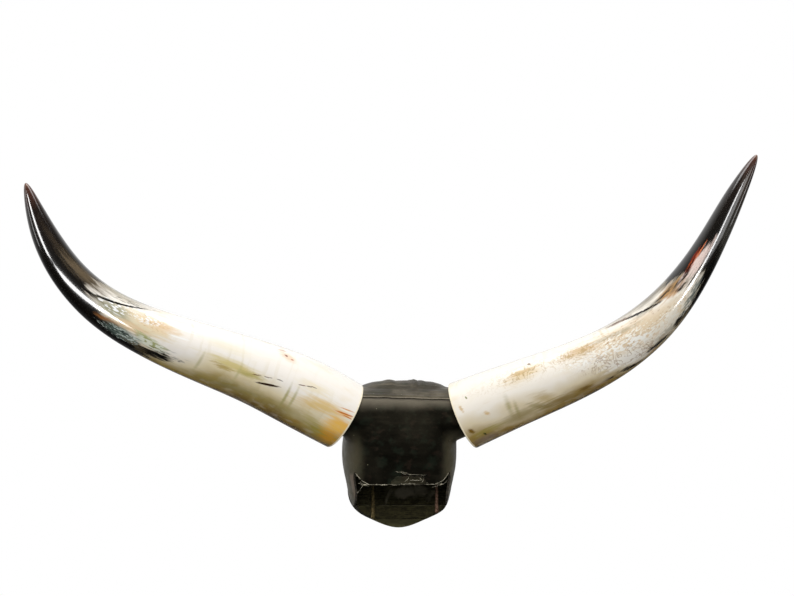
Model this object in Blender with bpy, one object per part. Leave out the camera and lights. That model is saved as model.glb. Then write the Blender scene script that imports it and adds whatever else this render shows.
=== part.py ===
"""A pair of polished bull horns on a leather-covered wooden wall mount.

The wall is the plane Y = 0 and the mount faces -Y, with +Z up. The origin is on the back board's wall face,
midway between the horns. "Left" and "right" are as seen from the front.
Sizes are in millimetres, and MM turns them into Blender's metres.
"""

import math

import bmesh
import bpy
import numpy as np
from mathutils import Vector

MM = 0.001
GAP = 0.3  # clearance left between two pieces that touch

# Horns: the centreline from the sawn base to the tip, and its stoutness at shares of the length.
# A horn narrows as the square root of the length left to its tip, times its stoutness.
LEFT_PATH = (
    (-78, -66, 45),
    (-135, -82, 75),
    (-203, -104, 104.5),
    (-272, -129, 129),
    (-341, -152, 156),
    (-396, -170, 187),
    (-439, -181, 229),
    (-470, -185, 281),
    (-493, -184, 343),
)
LEFT_STOUTNESS = ((0.0, 48.0), (0.12, 51.5), (0.26, 50.0), (0.4, 49.0), (0.77, 46.0), (0.9, 46.5), (1.0, 40.0))
RIGHT_PATH = (
    (84, -66, 45),
    (141, -88, 69.5),
    (208, -114, 97),
    (272, -140, 129),
    (329.5, -164, 174.5),
    (369, -180, 224.5),
    (399, -190, 276.5),
    (426, -195, 330),
    (457, -197, 388),
)
RIGHT_STOUTNESS = ((0.0, 47.5), (0.26, 46.0), (0.54, 42.8), (0.77, 38.3), (0.88, 39.5), (1.0, 38.0))
HORN_OVAL = 0.95  # a horn's depth over its height
HORN_RINGS = 34
HORN_SIDES = 24
TIP_CROWDING = 1.5  # above 1 puts the rings closer together towards the tip
TIP_FLAT = 0.4  # length left off the very point
RIM_BEVEL = 0.8
HOLLOW = ((0.0, 5.0), (36.0, 10.0), (104.0, 18.0))  # (depth from the sawn rim, thickness of the wall there)
HOLLOW_RINGS = (104.0, 70.0, 36.0, 0.0)

# Wooden plug that fills a horn's hollow and carries it, from where the mount's arm ends
PLUG_RINGS = (12.3, 36.0, 62.0, 100.0)
PLUG_CLEARANCE = 1.2

# Head shape: (height, middle, half-width, how far the front stands out from the widest line)
WIDEST_Y = -45.0
HEAD_STATIONS = (
    (-95, 0, 57, 38),
    (-72, 0, 66.5, 44),
    (-48, 0, 72, 47.5),
    (-22, 0, 77, 51),
    (5, 0, 78, 55),
    (32, 0, 75, 56),
    (54, 0, 71, 54),
    (70, 1, 65, 44),
    (80, 3, 60, 32),
    (85.5, 4, 51, 24),
    (88.6, 3, 38, 16),
    (90.2, 2, 22, 8),
)
HEAD_SQUARENESS = 3.2  # 2 would be an ellipse seen from above
HEAD_SIDES = 24

# Arms that run from the head into the horns
ARM_HALF_HEIGHT = 33.0
ARM_HALF_DEPTH = 35.0
ARM_RISE = {"left": 8.0, "right": 5.3}  # how far an arm lies above its horn's axis
ARM_REACH = 12.0  # how far it enters the horn
OPEN_END = 5.0  # how much farther a lining runs than its leather, so that the leather is open there
ARM_ROOT = 45.0  # how far it runs back into the head
RIM_CLEARANCE = 0.5
MOUTH_CLEARANCE = 2.2  # the hollow narrows inwards
RIM_CUT_RADIUS = 62.0

# Leather: cover and the band over the poll
LEATHER = 3.0
BAND_LEATHER = 2.6
BAND_EDGE_HEIGHT = 68.2
BAND_EDGE_SLOPE = math.radians(1.6)
FORM_UNDERSIDE = -36.0
FAR = 160.0  # beyond the mount on every side
# The cover's hem seen from the side: the front lip, its slanting corner, and the cheek behind it
HEM_LINE = (
    (-FAR, -47),
    (-86.5, -47),
    (-76, -31.5),
    (-72.5, -31.5),
    (-69, -38),
    (-66, -60),
    (-58, -71),
    (5, -73),
)

# Back board, rail and rods
BOARD_THICKNESS = 18.0
BOARD_OUTLINE = (
    (0, -109),
    (17, -106),
    (38, -97.3),
    (57, -86.5),
    (66.5, -73),
    (69.5, -50),
    (68.5, -15),
    (64, 25),
    (54, 57),
    (33, 74),
    (0, 80),
)
BOARD_STEPS = 20  # along each side
BOARD_BEVEL = 1.2
RAIL_TOP = -77.4
RAIL_BOTTOM = -95.7
RAIL_FRONT = -44.0
RAIL_STEPS = 7  # up each end
ROD_PLACES = {"left_rod": (-37.5, -95.4), "right_rod": (50.0, -90.0)}  # across, and height of the foot
ROD_DEPTH = -44.6
ROD_TOP_RADIUS = 1.5
ROD_FOOT_RADIUS = 3.1
ROD_SIDES = 12

# Keyhole in the back board for a wall screw
KEYHOLE_HEIGHT = 48.0
KEYHOLE_RISE = 12.0
KEYHOLE_DEPTH = 9.0
KEYHOLE_LIP = 3.0
KEYHOLE_STEPS = 16  # in each half turn
SCREW_HEAD_RADIUS = 5.0
SCREW_NECK_RADIUS = 2.5


def clear_scene():
    """Removes the startup objects."""
    for obj in list(bpy.data.objects):
        bpy.data.objects.remove(obj)


def material(name, colour, roughness, metallic=0.0):
    """A plain Principled material with a linear colour."""
    made = bpy.data.materials.new(name)
    made.use_nodes = True
    shader = made.node_tree.nodes["Principled BSDF"]
    shader.inputs["Base Color"].default_value = (*colour, 1.0)
    shader.inputs["Roughness"].default_value = roughness
    shader.inputs["Metallic"].default_value = metallic
    return made


def add_object(name, points, faces, finish=None):
    """A named object from points in millimetres. With no finish it is a helper that no render shows."""
    mesh = bpy.data.meshes.new(name)
    mesh.from_pydata([tuple(float(c) * MM for c in p) for p in points], [], faces)
    bm = bmesh.new()
    bm.from_mesh(mesh)
    bmesh.ops.recalc_face_normals(bm, faces=bm.faces)
    bm.to_mesh(mesh)
    bm.free()
    obj = bpy.data.objects.new(name, mesh)
    bpy.context.scene.collection.objects.link(obj)
    if finish is None:
        obj.hide_render = True
        obj.display_type = "WIRE"
    else:
        mesh.materials.append(finish)
        mesh.shade_smooth()
        mesh.set_sharp_from_angle(angle=math.radians(35))
    return obj


def cut(obj, cutter, operation="DIFFERENCE"):
    """Adds a Boolean to obj."""
    modifier = obj.modifiers.new(cutter.name, "BOOLEAN")
    modifier.operation = operation
    modifier.object = cutter


def spline(stations, values):
    """A natural cubic through the values at the stations, as a function of an array of places."""
    x = np.asarray(stations, float)
    y = np.asarray(values, float)
    step = np.diff(x)
    slope = np.diff(y, axis=0) / (step if y.ndim == 1 else step[:, None])
    count = len(x)
    system = np.eye(count)
    right = np.zeros_like(y)
    for i in range(1, count - 1):
        system[i, i - 1 : i + 2] = step[i - 1], 2 * (step[i - 1] + step[i]), step[i]
        right[i] = 6 * (slope[i] - slope[i - 1])
    bend = np.linalg.solve(system, right)

    def value(at):
        at = np.clip(np.asarray(at, float), x[0], x[-1])
        i = np.clip(np.searchsorted(x, at) - 1, 0, count - 2)
        h = step[i]
        a = (x[i + 1] - at) / h
        b = (at - x[i]) / h
        c = (a**3 - a) * h**2 / 6
        d = (b**3 - b) * h**2 / 6
        if y.ndim == 2:
            a, b, c, d = (k[..., None] for k in (a, b, c, d))
        return a * y[i] + b * y[i + 1] + c * bend[i] + d * bend[i + 1]

    return value


def station_curve(pairs):
    """The spline of a table of (station, value) pairs."""
    return spline([p[0] for p in pairs], [p[1] for p in pairs])


def closed_loft(rings):
    """Points and faces of a closed skin through rings of equal count, capped at both ends."""
    sides = len(rings[0])
    points = [p for ring in rings for p in ring]
    faces = []
    for r in range(len(rings) - 1):
        for k in range(sides):
            near, far = r * sides + k, r * sides + (k + 1) % sides
            faces.append((near, far, far + sides, near + sides))
    last = (len(rings) - 1) * sides
    faces.append(tuple(range(sides)))
    faces.append(tuple(range(last, last + sides)))
    return points, faces


class Horn:
    """The centreline and the ring frames of one horn."""

    def __init__(self, path, stoutness):
        points = np.array(path, float)
        chord = np.r_[0, np.cumsum(np.linalg.norm(np.diff(points, axis=0), axis=1))]
        rough = spline(chord / chord[-1], points)
        places = rough(np.linspace(0, 1, 400))
        travel = np.r_[0, np.cumsum(np.linalg.norm(np.diff(places, axis=0), axis=1))]
        self.length = travel[-1]
        self.share = travel / self.length
        self.places = places
        self.stoutness = station_curve(stoutness)

    def centre(self, share):
        """The centreline's point at that share of the length."""
        return np.array([np.interp(share, self.share, self.places[:, i]) for i in range(3)])

    def radius(self, share):
        """Half the horn's height there."""
        return float(self.stoutness(share)) * math.sqrt(max(1 - share, 0))

    def hollow_radius(self, depth):
        """Half the hollow's height at that depth from the sawn rim."""
        return self.radius(0) - float(station_curve(HOLLOW)(depth))

    def axes(self, share):
        """Unit vectors there: along towards the tip, up across it, and back towards the wall."""
        step = 0.01
        along = self.centre(min(share + step, 1)) - self.centre(max(share - step, 0))
        along /= np.linalg.norm(along)
        back = np.array([0.0, 1.0, 0.0]) - along[1] * along
        back /= np.linalg.norm(back)
        up = np.cross(along, back)
        if up[2] < 0:
            up = -up
        return along, up, back

    def ring(self, share, high, deep):
        """An oval ring of points across the horn, with its two half-axes."""
        _, up, back = self.axes(share)
        turns = [2 * math.pi * k / HORN_SIDES for k in range(HORN_SIDES)]
        return [self.centre(share) + high * math.cos(t) * up + deep * math.sin(t) * back for t in turns]

    def ring_before_base(self, distance, high, deep, rise=0.0):
        """An oval ring parallel to the sawn base, that far from it: above 0 is towards the head."""
        along, up, _ = self.axes(0)
        shift = rise * up - distance * along
        return [p + shift for p in self.ring(0, high, deep)]


def horn_solid(name, horn, finish):
    """The horn from the bottom of its hollow, out over the sawn rim and along to the tip."""
    sizes = [(depth / horn.length, horn.hollow_radius(depth)) for depth in HOLLOW_RINGS]
    sizes.append((0, horn.radius(0) - RIM_BEVEL))
    sizes.append((RIM_BEVEL / horn.length, horn.radius(0)))
    for i in range(1, HORN_RINGS):
        share = 1 - (1 - i / HORN_RINGS) ** TIP_CROWDING
        sizes.append((share, horn.radius(share)))
    tip = 1 - TIP_FLAT / horn.length
    sizes.append((tip, horn.radius(tip)))
    rings = [horn.ring(share, high, high * HORN_OVAL) for share, high in sizes]
    return add_object(name, *closed_loft(rings), finish)


def plug_solid(name, horn, finish):
    """A tapered wooden plug, a little smaller than the horn's hollow."""
    rings = []
    for depth in PLUG_RINGS:
        high = horn.hollow_radius(depth) - PLUG_CLEARANCE
        rings.append(horn.ring(depth / horn.length, high, high * HORN_OVAL))
    return add_object(name, *closed_loft(rings), finish)


def rim_cutter(name, horn):
    """Trims what would run into a horn's wall, and leaves the arm that enters its mouth."""
    mouth = horn.hollow_radius(0) - MOUTH_CLEARANCE
    rings = [
        horn.ring_before_base(-ARM_REACH, mouth, mouth * HORN_OVAL),
        horn.ring_before_base(RIM_CLEARANCE, mouth, mouth * HORN_OVAL),
        horn.ring_before_base(RIM_CLEARANCE, RIM_CUT_RADIUS, RIM_CUT_RADIUS),
        horn.ring_before_base(-RIM_CUT_RADIUS, RIM_CUT_RADIUS, RIM_CUT_RADIUS),
    ]
    return add_object(name, *closed_loft(rings))


def head_rings(inset, bottom, back):
    """Rings up the head, moved inwards by inset, from the given bottom height and with a flat back."""
    height, middle, wide, deep = np.array(HEAD_STATIONS, float).T
    rise = np.gradient(height)
    lean_wide = np.gradient(wide)
    lean_deep = np.gradient(deep)
    level_wide = rise / np.hypot(rise, lean_wide)
    level_deep = rise / np.hypot(rise, lean_deep)
    share_up = -(lean_wide / np.hypot(rise, lean_wide) + lean_deep / np.hypot(rise, lean_deep)) / 2
    wide = wide - inset * level_wide
    deep = deep - inset * level_deep
    height = height - inset * share_up
    stations = np.array([height, middle, wide, deep])
    first = [[bottom] + [np.interp(bottom, height, row) for row in stations[1:]]]
    rings = []
    for z, m, w, d in np.vstack((first, stations.T[height > bottom + 1])):
        ring = [(m - w, back, z)]
        for k in range(HEAD_SIDES + 1):
            turn = math.pi * k / HEAD_SIDES
            power = 2 / HEAD_SQUARENESS
            across = -math.copysign(abs(math.cos(turn)) ** power, math.cos(turn))
            ring.append((m + w * across, WIDEST_Y - d * math.sin(turn) ** power, z))
        ring.append((m + w, back, z))
        rings.append(ring)
    return rings


def arm_rings(horn, rise, inset, reach):
    """Rings along an arm, moved inwards by inset, from inside the head until that far into the horn."""
    high, deep = ARM_HALF_HEIGHT - inset, ARM_HALF_DEPTH - inset
    return [horn.ring_before_base(d, high, deep, rise) for d in (ARM_ROOT, -reach)]


def head_solid(name, horns, inset, bottom, back, reach, finish=None):
    """The head with its two arms, as one solid."""
    head = add_object(name, *closed_loft(head_rings(inset, bottom, back)), finish)
    for side, horn in horns.items():
        arm = add_object(f"{name}_{side}_arm", *closed_loft(arm_rings(horn, ARM_RISE[side], inset, reach)))
        cut(head, arm, "UNION")
    return head


def block(name, low, high):
    """A helper box between two corners."""
    points = [(x, y, z) for x in (low[0], high[0]) for y in (low[1], high[1]) for z in (low[2], high[2])]
    faces = [(0, 1, 3, 2), (4, 6, 7, 5), (0, 4, 5, 1), (2, 3, 7, 6), (0, 2, 6, 4), (1, 5, 7, 3)]
    return add_object(name, points, faces)


def prism(name, outline, low, high, place, finish=None):
    """An outline of pairs carried from low to high, where place(pair, distance) gives a point."""
    return add_object(name, *closed_loft([[place(p, d) for p in outline] for d in (low, high)]), finish)


def facing_front(pair, distance):
    """Places a pair of (across, height) that far behind the wall face."""
    return pair[0], distance, pair[1]


def facing_side(pair, distance):
    """Places a pair of (behind the wall face, height) that far across."""
    return distance, pair[0], pair[1]


def board_half_width(height):
    """How far the back board's edge is from its middle at a height below its widest."""
    lower = [p for p in BOARD_OUTLINE if p[1] <= -50]
    return float(np.interp(height, [p[1] for p in lower], [p[0] for p in lower]))


def board_outline():
    """The back board's outline seen from the front, as pairs of (across, height)."""
    half = np.array(BOARD_OUTLINE, float)
    travel = np.r_[0, np.cumsum(np.linalg.norm(np.diff(half, axis=0), axis=1))]
    curve = spline(travel, half)
    right = [tuple(p) for p in curve(np.linspace(0, travel[-1], BOARD_STEPS + 1))]
    return right + [(-x, z) for x, z in reversed(right[1:-1])]


def keyhole(board):
    """Cuts the keyhole: a hole for the screw's head, and above it a slot that is narrower at the face."""
    depths = {
        "keyhole_entry": (SCREW_HEAD_RADIUS, 0.0, 1.0, -KEYHOLE_DEPTH),
        "keyhole_neck": (SCREW_NECK_RADIUS, KEYHOLE_RISE, 1.0, -KEYHOLE_DEPTH + 0.5),
        "keyhole_channel": (SCREW_HEAD_RADIUS, KEYHOLE_RISE, -KEYHOLE_LIP, -KEYHOLE_DEPTH),
    }
    for name, (radius, rise, low, high) in depths.items():
        outline = []
        for k in range(2 * KEYHOLE_STEPS):
            turn = math.pi * (k + 0.5) / KEYHOLE_STEPS
            middle = KEYHOLE_HEIGHT + (rise if turn < math.pi else 0)
            outline.append((radius * math.cos(turn), middle + radius * math.sin(turn)))
        cut(board, prism(name, outline, low, high, facing_front))


def rod_rings(across, foot, grow):
    """Rings of a tapered rod from its foot to the underside of the head form, grown all round by grow."""
    turns = [2 * math.pi * k / ROD_SIDES for k in range(ROD_SIDES)]
    ends = ((foot - grow, ROD_FOOT_RADIUS + grow), (FORM_UNDERSIDE - GAP + grow, ROD_TOP_RADIUS + grow))
    rings = []
    for height, radius in ends:
        rings.append([(across + radius * math.cos(t), ROD_DEPTH + radius * math.sin(t), height) for t in turns])
    return rings


def build_horns(left, right):
    polished_horn = material("polished_horn", (0.78, 0.70, 0.52), 0.22)
    plug_wood = material("plug_wood", (0.30, 0.19, 0.10), 0.7)
    horn_solid("left_horn", left, polished_horn)
    horn_solid("right_horn", right, polished_horn)
    plug_solid("left_horn_plug", left, plug_wood)
    plug_solid("right_horn_plug", right, plug_wood)


def build_head(left, right):
    """The wooden head form, the leather cover over it and the band over the poll."""
    form_wood = material("form_wood", (0.05, 0.045, 0.035), 0.7)
    cover_leather = material("cover_leather", (0.02, 0.02, 0.017), 0.42)
    band_leather = material("band_leather", (0.05, 0.045, 0.04), 0.5)
    horns = {"left": left, "right": right}
    rims = [rim_cutter(f"{side}_rim_cutter", horn) for side, horn in horns.items()]
    behind = block("behind_head", (-FAR, -BOARD_THICKNESS - GAP, -FAR), (FAR, FAR, FAR))
    hem = prism("hem_cutter", [*HEM_LINE, (HEM_LINE[-1][0], -FAR), (-FAR, -FAR)], -FAR, FAR, facing_side)
    back = -BOARD_THICKNESS + OPEN_END
    open_back = back + OPEN_END
    open_reach = ARM_REACH + OPEN_END
    low = HEAD_STATIONS[0][0]

    cover = head_solid("leather_cover", horns, 0, low + OPEN_END, back, ARM_REACH, cover_leather)
    lining = head_solid("cover_lining", horns, LEATHER, low, open_back, open_reach)
    for cutter in (lining, behind, hem, *rims):
        cut(cover, cutter)

    form = head_solid("head_form", horns, LEATHER + GAP, FORM_UNDERSIDE, back, ARM_REACH, form_wood)
    for cutter in (behind, *rims):
        cut(form, cutter)

    band = head_solid("poll_band", horns, -GAP - BAND_LEATHER, 0, back, open_reach, band_leather)
    inside_band = head_solid("inside_band", horns, -GAP, -OPEN_END, open_back, open_reach + OPEN_END)
    below_band = block("below_band", (-FAR, -FAR, -FAR), (FAR, FAR, 0))
    below_band.location = Vector((0, 0, BAND_EDGE_HEIGHT)) * MM
    below_band.rotation_euler = (0, BAND_EDGE_SLOPE, 0)
    for cutter in (inside_band, behind, below_band):
        cut(band, cutter)
    wide = RIM_CUT_RADIUS
    for side, horn in horns.items():
        rings = [horn.ring_before_base(distance, wide, wide) for distance in (RIM_CLEARANCE, -wide)]
        cut(band, add_object(f"{side}_band_end", *closed_loft(rings)))


def build_back():
    """The back board with its keyhole, the rail across its foot and the two rods."""
    board_wood = material("board_wood", (0.06, 0.055, 0.03), 0.6)
    rail_wood = material("rail_wood", (0.03, 0.03, 0.014), 0.6)
    coppered_steel = material("coppered_steel", (0.30, 0.17, 0.09), 0.4, 1.0)

    board = prism("back_board", board_outline(), -BOARD_THICKNESS, 0, facing_front, board_wood)
    bevel = board.modifiers.new("eased_edges", "BEVEL")
    bevel.width = BOARD_BEVEL * MM
    bevel.segments = 1
    keyhole(board)

    heights = np.linspace(RAIL_BOTTOM, RAIL_TOP, RAIL_STEPS)
    side = [(board_half_width(h), h) for h in heights]
    outline = side + [(-x, z) for x, z in reversed(side)]
    rail = prism("lower_rail", outline, RAIL_FRONT, -BOARD_THICKNESS - GAP, facing_front, rail_wood)
    for name, (across, foot) in ROD_PLACES.items():
        add_object(name, *closed_loft(rod_rings(across, foot, 0)), coppered_steel)
        cut(rail, add_object(name + "_groove", *closed_loft(rod_rings(across, foot, GAP))))


def main():
    clear_scene()
    left = Horn(LEFT_PATH, LEFT_STOUTNESS)
    right = Horn(RIGHT_PATH, RIGHT_STOUTNESS)
    build_horns(left, right)
    build_head(left, right)
    build_back()


main()
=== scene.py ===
"""The looks of a pair of polished bull horns on a leather-covered wall mount.

The wall is the plane Y = 0 and the mount faces -Y, with +Z up. "Left" and "right" are as seen from the front.
Sizes in the classes are in millimetres, and MM turns them into metres.
"""

from __future__ import annotations

import logging
import math
from dataclasses import dataclass, field
from enum import Enum
from typing import Any, Callable, Iterable, Sequence

import bmesh
import bpy
import numpy as np
from bpy.types import Material, Mesh, Node, NodeSocket, NodeTree, Object
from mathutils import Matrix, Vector, noise
from mathutils.bvhtree import BVHTree

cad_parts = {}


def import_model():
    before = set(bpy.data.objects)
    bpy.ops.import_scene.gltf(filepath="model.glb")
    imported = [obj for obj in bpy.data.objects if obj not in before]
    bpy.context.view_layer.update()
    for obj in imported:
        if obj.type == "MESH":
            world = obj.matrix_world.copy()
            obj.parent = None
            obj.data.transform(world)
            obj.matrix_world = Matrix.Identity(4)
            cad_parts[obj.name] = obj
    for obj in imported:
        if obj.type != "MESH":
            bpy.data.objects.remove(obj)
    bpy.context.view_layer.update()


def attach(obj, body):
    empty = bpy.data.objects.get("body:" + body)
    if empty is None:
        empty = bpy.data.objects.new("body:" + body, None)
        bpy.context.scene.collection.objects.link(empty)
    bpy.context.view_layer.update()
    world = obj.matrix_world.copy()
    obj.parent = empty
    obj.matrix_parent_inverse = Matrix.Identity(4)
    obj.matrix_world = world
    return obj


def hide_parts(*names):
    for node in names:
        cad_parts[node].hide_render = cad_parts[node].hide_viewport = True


MM = 0.001
LOG = logging.getLogger("bull_horns")

Pairs = Sequence[tuple[float, float]]
Rings = list[list[Sequence[float]]]


class Side(Enum):
    """Which of the two horns, as seen from the front."""

    LEFT = "left"
    RIGHT = "right"


class Texture(Enum):
    """How a patch of colour on a horn is broken up."""

    PLAIN = "plain"
    FLECKS = "flecks"
    DABS = "dabs"
    SPECKS = "specks"
    THREADS = "threads"
    SQUIGGLES = "squiggles"


def linear(code: str) -> tuple[float, float, float, float]:
    """Turns an sRGB hex colour such as "#c0a080" into linear RGBA."""
    channels = [int(code[i : i + 2], 16) / 255 for i in (1, 3, 5)]
    return (*(c / 12.92 if c <= 0.04045 else ((c + 0.055) / 1.055) ** 2.4 for c in channels), 1.0)


def feed(node: Node, inputs: dict) -> None:
    """Sets or links a node's inputs.

    Args:
        node: the node.
        inputs: input names or numbers, each with a value, a hex colour, or the node or output that feeds it.
    """
    for key, value in inputs.items():
        if isinstance(value, Node):
            value = next(output for output in value.outputs if output.enabled)
        if isinstance(value, NodeSocket):
            node.id_data.links.new(value, node.inputs[key])
        else:
            node.inputs[key].default_value = linear(value) if str(value).startswith("#") else value


def add(
    tree: NodeTree, kind: str, inputs: dict | None = None, stops: Pairs = (), **settings: Any
) -> Node:
    """Adds one node to a tree.

    Args:
        tree: the node tree.
        kind: the node's type.
        inputs: its inputs, as feed takes them.
        stops: for a colour ramp, (place, hex colour or grey level).
        settings: the node's own properties.

    Returns:
        The new node.
    """
    node = tree.nodes.new(kind)
    for key, value in settings.items():
        setattr(node, key, value)
    for i, (place, value) in enumerate(stops):
        points = node.color_ramp.elements
        point = points[i] if i < len(points) else points.new(place)
        point.position = place
        point.color = linear(value) if isinstance(value, str) else (value, value, value, 1.0)
    feed(node, inputs or {})
    return node


def tinted(
    tree: NodeTree, base: Any, colour: Any, value: Any, low: float, high: float, top: Any = 1.0
) -> Node:
    """Lays a colour over another as a value passes from one level to the next.

    Args:
        tree: the material's tree.
        base: the colour so far.
        colour: the colour that is laid over it.
        value: the node or output that is followed.
        low: the level at which the colour begins to show.
        high: the level at which it is strongest.
        top: how strong it is there.

    Returns:
        The node that holds the new colour.
    """
    keys = {0: value, 1: low, 2: high, 3: 0.0, 4: top}
    share = add(tree, "ShaderNodeMapRange", keys, interpolation_type="SMOOTHSTEP")
    return add(tree, "ShaderNodeMix", {0: share, 6: base, 7: colour}, data_type="RGBA")


def new_surface(name: str) -> tuple[Material, NodeTree, Node]:
    """A new material, its tree and its Principled shader.

    Args:
        name: the finish's name.

    Returns:
        The material, its tree and its shader.
    """
    surface = bpy.data.materials.new(name)
    surface.use_nodes = True
    tree = surface.node_tree
    return surface, tree, tree.nodes["Principled BSDF"]


def new_modifier_tree(name: str, inputs: dict[str, str]) -> tuple[NodeTree, Node]:
    """A Geometry Nodes tree with a geometry input and output and the named inputs.

    Args:
        name: the tree's name.
        inputs: input names, each with its socket type.

    Returns:
        The tree and its group input node.
    """
    tree = bpy.data.node_groups.new(name, "GeometryNodeTree")
    tree.interface.new_socket("Geometry", in_out="INPUT", socket_type="NodeSocketGeometry")
    tree.interface.new_socket("Geometry", in_out="OUTPUT", socket_type="NodeSocketGeometry")
    for label, kind in inputs.items():
        tree.interface.new_socket(label, in_out="INPUT", socket_type=kind)
    return tree, tree.nodes.new("NodeGroupInput")


def link_object(name: str, mesh: Mesh) -> Object:
    """Puts a mesh into the scene under that name, at the origin.

    Args:
        name: the object's name.
        mesh: its mesh.

    Returns:
        The new object.
    """
    made = bpy.data.objects.new(name, mesh)
    bpy.context.scene.collection.objects.link(made)
    return made


def mesh_object(
    name: str, points: Iterable, faces: Iterable, finish: Material | None = None
) -> Object:
    """An object from points in millimetres, with its faces turned outwards.

    Args:
        name: the object's name.
        points: the points.
        faces: their faces.
        finish: the material, if it has one.

    Returns:
        The new object.
    """
    mesh = bpy.data.meshes.new(name)
    mesh.from_pydata([tuple(float(c) * MM for c in p) for p in points], [], list(faces))
    bm = bmesh.new()
    bm.from_mesh(mesh)
    bmesh.ops.recalc_face_normals(bm, faces=bm.faces)
    bm.to_mesh(mesh)
    bm.free()
    if finish:
        mesh.materials.append(finish)
    return link_object(name, mesh)


def baked(source: Object, name: str) -> Object:
    """Turns an object with its modifiers into a plain mesh object, and removes the source.

    Args:
        source: the object.
        name: the new object's name.

    Returns:
        The new object.
    """
    graph = bpy.context.evaluated_depsgraph_get()
    mesh = bpy.data.meshes.new_from_object(source.evaluated_get(graph), depsgraph=graph)
    bpy.data.objects.remove(source)
    mesh.name = name
    return link_object(name, mesh)


def nodes_modifier(target: Object, tree: NodeTree, values: dict[str, Any]) -> None:
    """Puts a Geometry Nodes tree on an object, with its inputs set by their identifiers.

    Args:
        target: the object.
        tree: the tree.
        values: input names, each with its value.
    """
    modifier = target.modifiers.new(tree.name, "NODES")
    identifiers = {s.name: s.identifier for s in tree.interface.items_tree if s.in_out == "INPUT"}
    modifier.node_group = tree
    for label, value in values.items():
        modifier[identifiers[label]] = value


def spline(stations: Sequence[float], values: Any) -> Callable:
    """A natural cubic through the values at the stations.

    Args:
        stations: rising places.
        values: a number or a point for each.

    Returns:
        A function of an array of places.
    """
    x = np.asarray(stations, float)
    y = np.asarray(values, float)
    step = np.diff(x)
    slope = np.diff(y, axis=0) / (step if y.ndim == 1 else step[:, None])
    count = len(x)
    system = np.eye(count)
    right = np.zeros_like(y)
    for i in range(1, count - 1):
        system[i, i - 1 : i + 2] = step[i - 1], 2 * (step[i - 1] + step[i]), step[i]
        right[i] = 6 * (slope[i] - slope[i - 1])
    bend = np.linalg.solve(system, right)

    def value(at: Any) -> np.ndarray:
        """The curve at those places.

        Args:
            at: the places.

        Returns:
            A value or a point for each.
        """
        at = np.clip(np.asarray(at, float), x[0], x[-1])
        i = np.clip(np.searchsorted(x, at) - 1, 0, count - 2)
        h = step[i]
        a = (x[i + 1] - at) / h
        b = (at - x[i]) / h
        c = (a**3 - a) * h**2 / 6
        d = (b**3 - b) * h**2 / 6
        if y.ndim == 2:
            a, b, c, d = (k[..., None] for k in (a, b, c, d))
        return a * y[i] + b * y[i + 1] + c * bend[i] + d * bend[i + 1]

    return value


def station_curve(pairs: Pairs) -> Callable:
    """The spline of a table of (station, value) pairs."""
    return spline([p[0] for p in pairs], [p[1] for p in pairs])


def closed_loft(rings: Rings) -> tuple[list, list]:
    """Points and faces of a closed skin through rings of equal count, capped at both ends.

    Args:
        rings: the rings, in order.

    Returns:
        The points and the faces.
    """
    sides = len(rings[0])
    points = [p for ring in rings for p in ring]
    faces: list[tuple[int, ...]] = []
    for r in range(len(rings) - 1):
        for k in range(sides):
            near, far = r * sides + k, r * sides + (k + 1) % sides
            faces.append((near, far, far + sides, near + sides))
    last = (len(rings) - 1) * sides
    faces.append(tuple(range(sides)))
    faces.append(tuple(range(last, last + sides)))
    return points, faces


def cut(solid: Object, cutters: list[Object], name: str) -> Object:
    """Cuts the cutters out of a solid, and removes them.

    Args:
        solid: the solid, with any other modifiers before the cuts.
        cutters: the shapes to cut out, whose materials the cut faces take.
        name: the name of the result.

    Returns:
        The cut solid as a plain mesh.
    """
    for cutter in cutters:
        step = solid.modifiers.new(cutter.name, "BOOLEAN")
        step.object = cutter
        step.material_mode = "TRANSFER"
    whole = baked(solid, name)
    for cutter in cutters:
        bpy.data.objects.remove(cutter)
    return whole


def swell(target: Object, reach: Callable[[Vector], float]) -> None:
    """Moves each point of an object outwards.

    Args:
        target: the object.
        reach: how far, for a place; both are in millimetres.
    """
    normals = [vertex.normal.copy() for vertex in target.data.vertices]
    for vertex, normal in zip(target.data.vertices, normals):
        vertex.co += normal * reach(vertex.co / MM) * MM


def smoothed(
    piece: Object, crease: float, finish: Material | None = None
) -> Object:
    """Shades a piece smooth, and dresses it where it hasn't its finish yet.

    Args:
        piece: the piece.
        crease: the angle in degrees past which an edge stays sharp.
        finish: its one material, if it still needs it.

    Returns:
        The piece.
    """
    mesh = piece.data
    if finish:
        mesh.materials.clear()
        mesh.materials.append(finish)
        mesh.polygons.foreach_set("material_index", [0] * len(mesh.polygons))
    mesh.shade_smooth()
    mesh.set_sharp_from_angle(angle=math.radians(crease))
    return piece


def bevelled(solid: Object, width: float) -> None:
    """Rounds a solid's sharp edges.

    Args:
        solid: the solid.
        width: how far in the rounding starts, in millimetres.
    """
    rounding = solid.modifiers.new("worn_edges", "BEVEL")
    rounding.width = width * MM
    rounding.segments = 3
    rounding.angle_limit = math.radians(50)


def sheet_faces(columns: int, rows: int, start: int = 0) -> list[tuple[int, ...]]:
    """The faces of a sheet of points in rows, columns faces wide, whose first point has the number start."""
    corners = [start + r * (columns + 1) + c for r in range(rows) for c in range(columns)]
    return [(i, i + 1, i + columns + 2, i + columns + 1) for i in corners]


@dataclass(frozen=True)
class Mark:
    """A patch of colour on a horn.

    turn is 0 at the top, 0.5 at the front, 1 underneath and negative behind.
    length and width are half-sizes in millimetres, and tilt turns the length away from the horn's own line.
    """

    share: float
    turn: float
    length: float
    width: float
    tilt: float
    colour: str
    strength: float = 1.0
    ragged: float = 0.6
    soft: float = 0.5
    texture: Texture = Texture.PLAIN


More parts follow.
